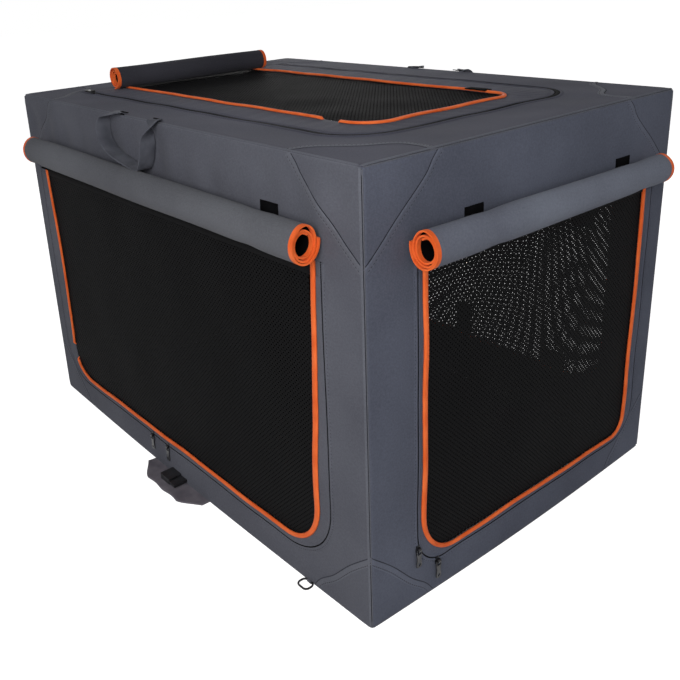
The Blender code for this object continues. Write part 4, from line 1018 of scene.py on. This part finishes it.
def rollSection(setup, share, along, pinch):
    # Centreline of the winding seen from the end, outer end first
    steps = int(setup["turns"] * rollForm["perTurn"])
    wide, tall = setup["oval"]
    points = []
    taper = setup["taper"][0] * (1 - share) + setup["taper"][1] * share
    for index in range(steps + 1):
        wound = index / steps
        angle = math.radians(setup["end"]) - setup["turn"] * 2 * math.pi * setup["turns"] * wound
        radius = setup["outerRadius"] + (setup["innerRadius"] - setup["outerRadius"]) * wound
        loose = max(0.0, 1 - wound * setup["turns"] / rollForm["looseTurns"])
        off = (math.degrees(angle) - setup["gapAt"] + 180) % 360 - 180
        radius += setup["gap"] * min(1, loose * 3) * math.exp(-(off / rollForm["gapWide"]) ** 2)
        radius += rollForm["waver"] * math.sin(3 * angle + 9 * wound + along * 21)
        radius -= pinch + taper * (0.4 + 0.6 * radius / setup["outerRadius"])
        points.append((radius * math.cos(angle) * wide, radius * math.sin(angle) * tall))
    return np.array(points)


def rollSag(station, strapPlaces, low, high):
    # The straps carry the roll: it hangs lowest halfway between two of them
    marks = [low, *sorted(strapPlaces), high] if strapPlaces else []
    for before, after in zip(marks, marks[1:]):
        if before <= station <= after:
            long = after - before
            return math.sin(math.pi * (station - before) / long) ** 2 * long / (high - low)
    return 0.0


def rollShell(setup, place, start, stop, thick, strapPlaces, span):
    low, high = span
    count = max(2, int((stop - start) / rollForm["section"]) + 1)
    rings = []
    for station in np.linspace(start, stop, count):
        share = (station - low) / (high - low)
        pinch = sum(rollForm["pinch"] * math.exp(-((station - spot) / rollForm["pinchWide"]) ** 2)
                    for spot in strapPlaces)
        line = rollSection(setup, share, station, pinch)
        side = pathSides(line) * thick / 2
        drop = setup["sag"] * rollSag(station, strapPlaces, low, high)
        drop -= np.interp(share, (0, 0.5, 1), setup["rise"])
        loop = np.vstack([line + side, (line - side)[::-1]])
        full = np.empty((len(loop), 3))
        toEnd = min(station - low, high - station)
        wound = np.linspace(0, 1, len(line))
        # Towards its ends the inner windings sit deeper than the outer ones
        sunk = rollForm["sunkEnd"] * max(0.0, 1 - toEnd / rollForm["sunkLong"])
        sunk *= 1 if share < 0.5 else -1
        full[:, setup["axis"]] = station + sunk * np.concatenate([wound, wound[::-1]])
        full[:, 1 - setup["axis"]] = place[0] + loop[:, 0]
        full[:, 2] = place[1] + loop[:, 1] - drop
        rings.append(full)
    columns = len(rings[0])
    polygons = gridFaces(count, columns, closedColumns=True)
    for ring in (0, count - 1):
        base = ring * columns
        for index in range(columns // 2 - 1):
            quad = (base + index, base + index + 1, base + columns - 2 - index, base + columns - 1 - index)
            polygons.append(quad if ring else quad[::-1])
    return np.vstack(rings), polygons


def makeRoll(name, setup, strapPlaces):
    low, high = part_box(name)
    axis = setup["axis"]
    place = ((low[1 - axis] + high[1 - axis]) / 2 + setup["shift"][0], (low[2] + high[2]) / 2)
    start, stop = low[axis] + setup["shift"][1] - setup["longer"], high[axis] + setup["shift"][1]
    band, over = rollForm["bandLong"], rollForm["bandOver"]
    shell = rollShell(setup, place, start + over, stop - over, rollForm["cloth"], strapPlaces, (start, stop))
    cover = newPiece(name + "_cloth", *shell, setup["cloth"])
    # The inner face of every turn is the lining
    cover.data.materials.append(blackLining)
    columns = 2 * (int(setup["turns"] * rollForm["perTurn"]) + 1)
    for index, polygon in enumerate(cover.data.polygons):
        column = index % columns
        if index < len(cover.data.vertices) - columns and (column < columns // 2) == (setup["turn"] > 0):
            polygon.material_index = 1
    onBody(cover, setup["body"], "grey_oxford", [name])
    bands = [rollShell(setup, place, first, first + band, rollForm["band"], strapPlaces, (start, stop))
             for first in (start, stop - band)]
    tapes = joinParts(name + "_end_tapes", bands, orangeTape)
    onBody(tapes, setup["body"], "orange_binding")
    return place


def bandPiece(name, centre, across, wide, thick, material):
    # A woven band carried along a curve in space; across gives the direction of its width
    centre = np.array(centre, float)
    across = np.array(across, float)
    ahead = np.gradient(centre, axis=0)
    ahead /= np.linalg.norm(ahead, axis=1, keepdims=True)
    across -= ahead * np.sum(across * ahead, axis=1, keepdims=True)
    across /= np.linalg.norm(across, axis=1, keepdims=True)
    normal = np.cross(ahead, across)
    offsets, lifts = np.array(roundProfile(wide, thick, -thick / 2, 14, 0.32)).T
    verts = (centre[:, None] + across[:, None] * offsets[None, :, None]
             + normal[:, None] * lifts[None, :, None])
    return newPiece(name, verts.reshape(-1, 3), tubeFaces(len(centre), len(offsets)), material)


def makeStrap(name, axis, place, body, outward):
    # Flat on the wall, then round the roll's outer side and under it
    low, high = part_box(name)
    wallPlace = (high if outward < 0 else low)[1 - axis]
    radius = rollSet["side_roll"]["outerRadius"] + strapTape["offRoll"]
    section = [(wallPlace + outward * strapTape["offWall"], high[2] - strapTape["below"][name]),
               (wallPlace + outward * (strapTape["offWall"] + 0.2 * mm), place[1] + strapTape["leaves"]),
               (place[0] - outward * radius, place[1])]
    for angle in (math.radians(degrees) for degrees in (20, 40, 60, 80)):
        section.append((place[0] - outward * radius * math.cos(angle), place[1] - radius * math.sin(angle)))
    points = []
    for side, level in section:
        point = [0, 0, level]
        point[axis], point[1 - axis] = (low[axis] + high[axis]) / 2, side
        points.append(point)
    line = smoothCurve(points, 3 * mm, 10)
    width = np.zeros((len(line), 3))
    width[:, axis] = 1
    onBody(bandPiece(name + "_tape", line, width, strapTape["wide"], strapTape["thick"], blackTape),
           body, "black_webbing", [name])


for rollName, setup in rollSet.items():
    setup = {**rollUsual, **setup}
    axis = setup["axis"]
    straps = [node for node in strapTape["below"] if node.startswith(rollName)]
    strapPlaces = [(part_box(node)[0][axis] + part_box(node)[1][axis]) / 2 for node in straps]
    rollPlace = makeRoll(rollName, setup, strapPlaces)
    for node in straps:
        makeStrap(node, axis, rollPlace, setup["body"], -1 if axis == 0 else 1)
print("rolls wound")


# Carry handles: a webbing loop whose width stands off the wall, folded at its lowest place
handleSet = {
    "wide": 25 * mm,
    "thick": 2.4 * mm,
    "offWall": 1.0 * mm,
    # places along the wall from the handle's middle, above the roof's edge and out from the wall, in mm
    "route": ((-50, 1.3, -6), (-60, 1.8, -1), (-72, 0, 5), (-80, -7, 10), (-83, -22, 13.5), (-77, -40, 14),
              (-54, -55, 14), (-18, -64, 14), (18, -69, 14), (35, -69, 14), (42, -62, 14), (50, -44, 14),
              (55, -22, 13), (58, -7, 8), (56, 1.5, 1), (51, 1.3, -6)),
    "turnLong": 0.16,           # share of the loop over which the webbing turns from flat to upright
    "tackHalf": 11 * mm,        # half a bar tack's length
    "tackRow": 3.2 * mm,
    "tackIn": 5 * mm,           # how far the tacks lie in from the roof's edge
    "tackProfile": (2.6 * mm, 1.6 * mm, 1.8 * mm, 8),
}


def makeHandle(name, side, body):
    low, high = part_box(name)
    middle = (low.x + high.x) / 2
    wallPlace = side * (halfWidth + handleSet["offWall"])
    points = [(middle + a * mm, wallPlace + side * c * mm, height + b * mm)
              for a, b, c in handleSet["route"]]
    line = smoothCurve(points, 3.5 * mm, 10)
    share = np.linspace(0, 1, len(line))
    flat = 1 - smooth(np.minimum(share, 1 - share) / handleSet["turnLong"])
    across = np.stack([flat, side * (1 - flat) * np.ones(len(line)), np.zeros(len(line))], axis=1)
    handle = bandPiece(name + "_webbing", line, across, handleSet["wide"], handleSet["thick"], greyWebbing)
    onBody(handle, body, "grey_webbing", [name])
    # Black bar tacks where the webbing is sewn into the edge
    tacks = []
    half = handleSet["tackHalf"]
    for place in (points[0], points[-1]):
        for row in (-handleSet["tackRow"], handleSet["tackRow"]):
            v = side * (halfWidth - handleSet["tackIn"]) + row
            line = evenly([(place[0] - half, v), (place[0] + half, v)], 4 * mm)
            tacks.append(ribbonPart("roof", line, roundProfile(*handleSet["tackProfile"])))
    onBody(joinParts(name + "_bar_tacks", tacks, blackTape), "roof", "black_webbing")


makeHandle("near_handle", -1, "near_loop")
makeHandle("far_handle", 1, "far_loop")
print("handles sewn")


# Zip pulls: cast tabs with a slot at the slider and a round hole at the tip.
# Places are shares of the tab's length from the slider, half widths are shares of its width.
pullForm = {
    "wide": 9.5 * mm,
    "thick": 1.5 * mm,
    "edge": 0.35 * mm,
    "outer": ((0.0, 0.42), (0.03, 0.5), (0.30, 0.5), (0.45, 0.40), (0.60, 0.40), (0.75, 0.5), (0.94, 0.5),
              (1.0, 0.36)),
    "slot": ((0.08, -0.34), (0.27, -0.34), (0.27, 0.34), (0.08, 0.34)),
    "hole": 4.4 * mm,
    "holeAt": 0.84,
}


def makePull(name, body):
    low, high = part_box(name)
    size, middle = high - low, (low + high) / 2
    thin, wideAxis, longAxis = sorted(range(3), key=lambda axis: size[axis])
    slider = sum(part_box(name.replace("_pull", "_slider")), Vector()) / 2
    head = 1 if slider[longAxis] > middle[longAxis] else -1
    long, radius = size[longAxis], pullForm["hole"] / 2
    edge = [(place * long, wide * pullForm["wide"]) for place, wide in pullForm["outer"]]
    outer = edge + [(a, -b) for a, b in reversed(edge)]
    slot = [(a * long, b * pullForm["wide"]) for a, b in pullForm["slot"]]
    hole = [(pullForm["holeAt"] * long + radius * math.cos(t), radius * math.sin(t))
            for t in np.linspace(0, 2 * math.pi, 14, endpoint=False)]
    bm = bmesh.new()
    edges = []
    for ring in (outer, slot, hole):
        verts = []
        for a, b in ring:
            point = [0.0, 0.0, 0.0]
            point[longAxis] = middle[longAxis] + head * (long / 2 - a)
            point[wideAxis] = middle[wideAxis] + b
            point[thin] = middle[thin] - pullForm["thick"] / 2
            verts.append(bm.verts.new(point))
        edges += [bm.edges.new((verts[i], verts[(i + 1) % len(verts)])) for i in range(len(verts))]
    bmesh.ops.triangle_fill(bm, use_beauty=True, edges=edges)
    extruded = bmesh.ops.extrude_face_region(bm, geom=bm.faces[:])
    shift = [0.0, 0.0, 0.0]
    shift[thin] = pullForm["thick"]
    bmesh.ops.translate(bm, vec=shift, verts=[
        item for item in extruded["geom"] if isinstance(item, bmesh.types.BMVert)])
    bmesh.ops.recalc_face_normals(bm, faces=bm.faces)
    pull = newPiece(name + "_tab", [], [], dieCast, False, recalc=False)
    bm.to_mesh(pull.data)
    bm.free()
    rounded = pull.modifiers.new("roundedEdge", "BEVEL")
    rounded.width = pullForm["edge"]
    rounded.segments = 2
    onBody(pull, body, "black_zip", [name])


for zipName in ("side_left", "side_right", "front_low", "front_high", "roof"):
    makePull(zipName + "_pull", zipName + "_tab")
print("pulls made")


# Folding strap on the ground, its outer edge cut back at both ends
strapForm = {"thick": 1.7 * mm, "curl": 1.6 * mm, "under": 9 * mm, "rows": 13, "columns": 33,
             "cutBack": 24 * mm, "ripple": 1.2 * mm}
low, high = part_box("fold_strap")
inner = high.y + strapForm["under"]
strapPoints = []
for row in range(strapForm["rows"]):
    for column in range(strapForm["columns"]):
        a, b = column / (strapForm["columns"] - 1), row / (strapForm["rows"] - 1)
        ends = max(0, 1 - a / 0.25) ** 1.4 + max(0, (a - 0.78) / 0.22) ** 1.2
        edge = low.y + strapForm["cutBack"] * ends + strapForm["ripple"] * math.sin(a * 21)
        curl = strapForm["curl"] * b ** 3 * (0.5 + 0.5 * math.sin(a * 9 + 1))
        strapPoints.append((low.x + (high.x - low.x) * a, inner + (edge - inner) * b,
                            strapForm["thick"] + curl))
strapFaces = gridFaces(strapForm["rows"], strapForm["columns"], flip=True)
foldStrap = newPiece("fold_strap_webbing", strapPoints, strapFaces, strapWebbing, recalc=False)
thicken(foldStrap, strapForm["thick"])
onBody(foldStrap, "base", "grey_webbing", ["fold_strap"])

# Sleeve that holds the peg ring
sleeveForm = {"thick": 0.9 * mm, "inside": 0.5 * mm, "tailUp": 0.6 * mm}
low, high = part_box("ring_sleeve")
middle = (low + high) / 2
radius = (high.z - low.z) / 2 - sleeveForm["inside"]
sleeveLine = [(middle.x, high.y, high.z)]
sleeveLine += [(middle.x, middle.y + radius * math.cos(t), middle.z + radius * math.sin(t))
               for t in np.linspace(math.radians(30), math.radians(330), 24)]
sleeveLine.append((middle.x, high.y, low.z + sleeveForm["tailUp"]))
sleeve = bandPiece("ring_sleeve_webbing", sleeveLine, [(1, 0, 0)] * len(sleeveLine), high.x - low.x,
                   sleeveForm["thick"], greyWebbing)
onBody(sleeve, "base", "black_webbing", ["ring_sleeve"])

# Quilted mat on the floor
matSet = {"channel": 80 * mm, "dip": 2.4 * mm, "round": 18 * mm, "columns": 97, "rows": 65}
low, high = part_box("floor_mat")
columns, rows = matSet["columns"], matSet["rows"]
middle, half = (low.z + high.z) / 2, (high.z - low.z) / 2
matPoints = []
for upper in (True, False):
    for row in range(rows):
        for column in range(columns):
            x = low.x + (high.x - low.x) * (column / (columns - 1))
            y = low.y + (high.y - low.y) * (row / (rows - 1))
            rim = min(x - low.x, high.x - x, y - low.y, high.y - y)
            rounded = math.sqrt(max(0.0, 1 - (1 - min(1, rim / matSet["round"])) ** 2))
            quilt = min(abs(math.sin(math.pi * place / matSet["channel"])) ** 0.5 for place in (x, y))
            z = middle + half * rounded * (1 if upper else -1)
            if upper:
                z -= matSet["dip"] * (1 - quilt) * rounded
            matPoints.append((x, y, z))
count = rows * columns
matFaces = gridFaces(rows, columns) + gridFaces(rows, columns, count, flip=True)
rim = (list(range(columns)) + [row * columns + columns - 1 for row in range(1, rows)]
       + [(rows - 1) * columns + column for column in range(columns - 2, -1, -1)]
       + [row * columns for row in range(rows - 2, 0, -1)])
for here, there in zip(rim, rim[1:] + rim[:1]):
    matFaces.append((there, here, here + count, there + count))
mat = newPiece("quilted_floor_mat", matPoints, matFaces, matCloth)
onBody(mat, "base", "mat_cloth", ["floor_mat"])

# Piping round the mat's upper edge
pipingSet = {"radius": 2.5 * mm, "inset": 3 * mm, "corner": 20 * mm, "below": 1 * mm, "sides": 8}
pipeRect = grown((low.x, high.x, low.y, high.y), -pipingSet["inset"])
pipeLine = outline(pipeRect, (pipingSet["corner"],) * 4, 12 * mm)
sides = pipingSet["sides"]
pipeVerts = []
for spot, across in zip(pipeLine, pathSides(pipeLine, True)):
    for angle in (2 * math.pi * step / sides for step in range(sides)):
        out = pipingSet["radius"] * math.cos(angle)
        pipeVerts.append((spot[0] + across[0] * out, spot[1] + across[1] * out,
                          high.z - pipingSet["below"] + pipingSet["radius"] * math.sin(angle)))
onBody(newPiece("floor_mat_piping", pipeVerts, tubeFaces(len(pipeLine), sides, True), highlightedPipingCloth),
       "base", "mat_cloth")

# Black loop patches inside the far window and on the roof door's tape
patchThick = 1.5 * mm
patchSet = {
    # face, u and v of the middle, size along u and v, lift
    "far_window_patch_1": ("far", 0.325, 0.385, 0.038, 0.034, -1.6 * mm),
    "far_window_patch_2": ("far", 0.073, 0.122, 0.034, 0.064, -1.6 * mm),
    "far_window_patch_3": ("far", 0.284, 0.104, 0.046, 0.034, -1.6 * mm),
    "roof_tape_patch": ("roof", 0.236, 0.141, 0.040, 0.016, 3.4 * mm),
}
for patchName, (face, u, v, long, tall, lift) in patchSet.items():
    us, vs = np.linspace(u - long / 2, u + long / 2, 7), np.linspace(v - tall / 2, v + tall / 2, 7)
    gridU, gridV = np.meshgrid(us, vs)
    bulge = np.sin(np.pi * (gridU - us[0]) / long) * np.sin(np.pi * (gridV - vs[0]) / tall)
    patch = newPiece(patchName, onBox(face, gridU, gridV, lift + bulge * 0.6 * mm).reshape(-1, 3),
                     gridFaces(7, 7, flip=face == "far"), blackTape, recalc=False)
    solid = patch.modifiers.new("tapeThickness", "SOLIDIFY")
    solid.thickness = patchThick
    solid.offset = 0
    if face == "roof":
        onBody(patch, "roof_door", "black_webbing")
    else:
        onFoldingBody(patch, "base", "black_webbing")
print("patches sewn")

# Hard parts keep their solids and get their finishes
corners = [end + "_" + side for end in ("front", "back") for side in ("near", "far")]
finishes = {
    powderCoat: ["base_ring", "roof_ring"] + [end + "_" + level + "_frame" for end in ("front", "back")
                                              for level in ("lower", "upper")],
    acetal: [clip + corner for clip in ("base_clip_", "roof_clip_") for corner in corners]
    + ["buckle_socket", "buckle_plug"],
    dieCast: ["elbow_rivet_" + corner for corner in corners] + ["ground_ring"]
    + [zipName + "_slider" for zipName in ("side_left", "side_right", "front_low", "front_high", "roof")],
}
for finish, nodeNames in finishes.items():
    for nodeName in nodeNames:
        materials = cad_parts[nodeName].data.materials
        materials.clear()
        materials.append(finish)
print("hard parts finished")


# Stage

def seenStraight(tree):
    # Camera, transmission and glossy rays see plain white; only the other rays meet the lit surface
    rays = addNode(tree, "LightPath")
    found = rays.outputs["Is Camera Ray"]
    for kind in ("Is Transmission Ray", "Is Glossy Ray"):
        larger = addNode(tree, "Math", {"operation": "MAXIMUM"}, {0: found, 1: rays.outputs[kind]})
        found = larger.outputs[0]
    return found


floorSet = {"half": 12.0, "level": -0.5 * mm, "grey": 0.56, "glow": 0.95}
floorMaterial, tree = newMaterial("whitePaperSweep")
diffuse = addNode(tree, "BsdfDiffuse", {"Color": (floorSet["grey"],) * 3 + (1,)}).outputs[0]
glow = addNode(tree, "Emission", {"Color": (1, 1, 1, 1), "Strength": floorSet["glow"]}).outputs[0]
both = addNode(tree, "AddShader", links={0: diffuse, 1: glow}).outputs[0]
mixed = addNode(tree, "MixShader", links={0: seenStraight(tree), 1: diffuse, 2: both}).outputs[0]
addNode(tree, "OutputMaterial", links={"Surface": mixed})
half, level = floorSet["half"], floorSet["level"]
floorPiece = newPiece("studio_floor", [(-half, -half, level), (half, -half, level), (half, half, level),
                                       (-half, half, level)], [(0, 1, 2, 3)], floorMaterial)

skySet = {"atLevel": 0.38, "overhead": 0.07, "colour": (0.95, 0.97, 1.0, 1)}
world = bpy.data.worlds.new("softStudio")
bpy.context.scene.world = world
world.use_nodes = True
tree = world.node_tree
tree.nodes.clear()
generated = addNode(tree, "TexCoord").outputs["Generated"]
upward = addNode(tree, "SeparateXYZ", links={0: generated}).outputs["Z"]
skyShade = addNode(tree, "MapRange", {"From Min": 0.0, "From Max": 1.0, "To Min": skySet["atLevel"],
                                      "To Max": skySet["overhead"]}, {"Value": upward}).outputs[0]
lit = addNode(tree, "Background", {"Color": skySet["colour"]}, {"Strength": skyShade}).outputs[0]
shown = addNode(tree, "Background", {"Color": (1, 1, 1, 1), "Strength": 1.0}).outputs[0]
mixed = addNode(tree, "MixShader", links={0: seenStraight(tree), 1: lit, 2: shown}).outputs[0]
addNode(tree, "OutputWorld", links={"Surface": mixed})

lampAim = Vector((0, 0, 0.3))
lamps = {
    "keySoftbox": {"at": (1.25, -1.45, 1.15), "size": 1.0, "power": 24, "colour": (1.0, 0.985, 0.97)},
    "sideSoftbox": {"at": (-0.4, -2.6, 1.2), "size": 1.6, "power": 2.5, "colour": (1.0, 0.98, 0.97)},
    "backSoftbox": {"at": (-2.0, 1.8, 0.72), "size": 1.1, "power": 22, "colour": (1.0, 0.99, 0.98)},
    "frontSoftbox": {"at": (2.6, 0.3, 0.9), "size": 1.4, "power": 3.5, "colour": (0.90, 0.94, 1.0)},
}
for lampName, lamp in lamps.items():
    light = bpy.data.lights.new(lampName, "AREA")
    light.size, light.energy, light.color = lamp["size"], lamp["power"], lamp["colour"]
    lightPiece = bpy.data.objects.new(lampName, light)
    lightPiece.location = lamp["at"]
    lightPiece.rotation_euler = (lampAim - Vector(lamp["at"])).to_track_quat("-Z", "Y").to_euler()
    bpy.context.scene.collection.objects.link(lightPiece)

# Camera, fitted to the crate's corners in the photo
view = {"at": (1.0738, -0.8881, 0.8081), "azimuth": 52.487, "elevation": 19.791, "roll": 3.189,
        "focalPixels": 825.54, "centrePixels": (290.20, 263.55), "picture": 680}
turn, climb, tilt = (math.radians(view[key]) for key in ("azimuth", "elevation", "roll"))
back = Vector((math.sin(turn) * math.cos(climb), -math.cos(turn) * math.cos(climb), math.sin(climb)))
across = (-back).cross(Vector((0, 0, 1))).normalized()
down = (-back).cross(across)
rightAxis = math.cos(tilt) * across + math.sin(tilt) * down
downAxis = -math.sin(tilt) * across + math.cos(tilt) * down
cameraData = bpy.data.cameras.new("photoCamera")
camera = bpy.data.objects.new("photoCamera", cameraData)
bpy.context.scene.collection.objects.link(camera)
cameraData.sensor_width = 36
cameraData.sensor_fit = "HORIZONTAL"
cameraData.lens = view["focalPixels"] / view["picture"] * cameraData.sensor_width
cameraData.shift_x = (view["picture"] / 2 - view["centrePixels"][0]) / view["picture"]
cameraData.shift_y = (view["centrePixels"][1] - view["picture"] / 2) / view["picture"]
cameraData.clip_start = 0.01
cameraData.clip_end = 100
basis = Matrix((rightAxis, -downAxis, back)).transposed()
camera.matrix_world = Matrix.Translation(view["at"]) @ basis.to_4x4()
bpy.context.scene.camera = camera
bpy.context.scene.view_settings.view_transform = "Standard"
print("stage and camera set")
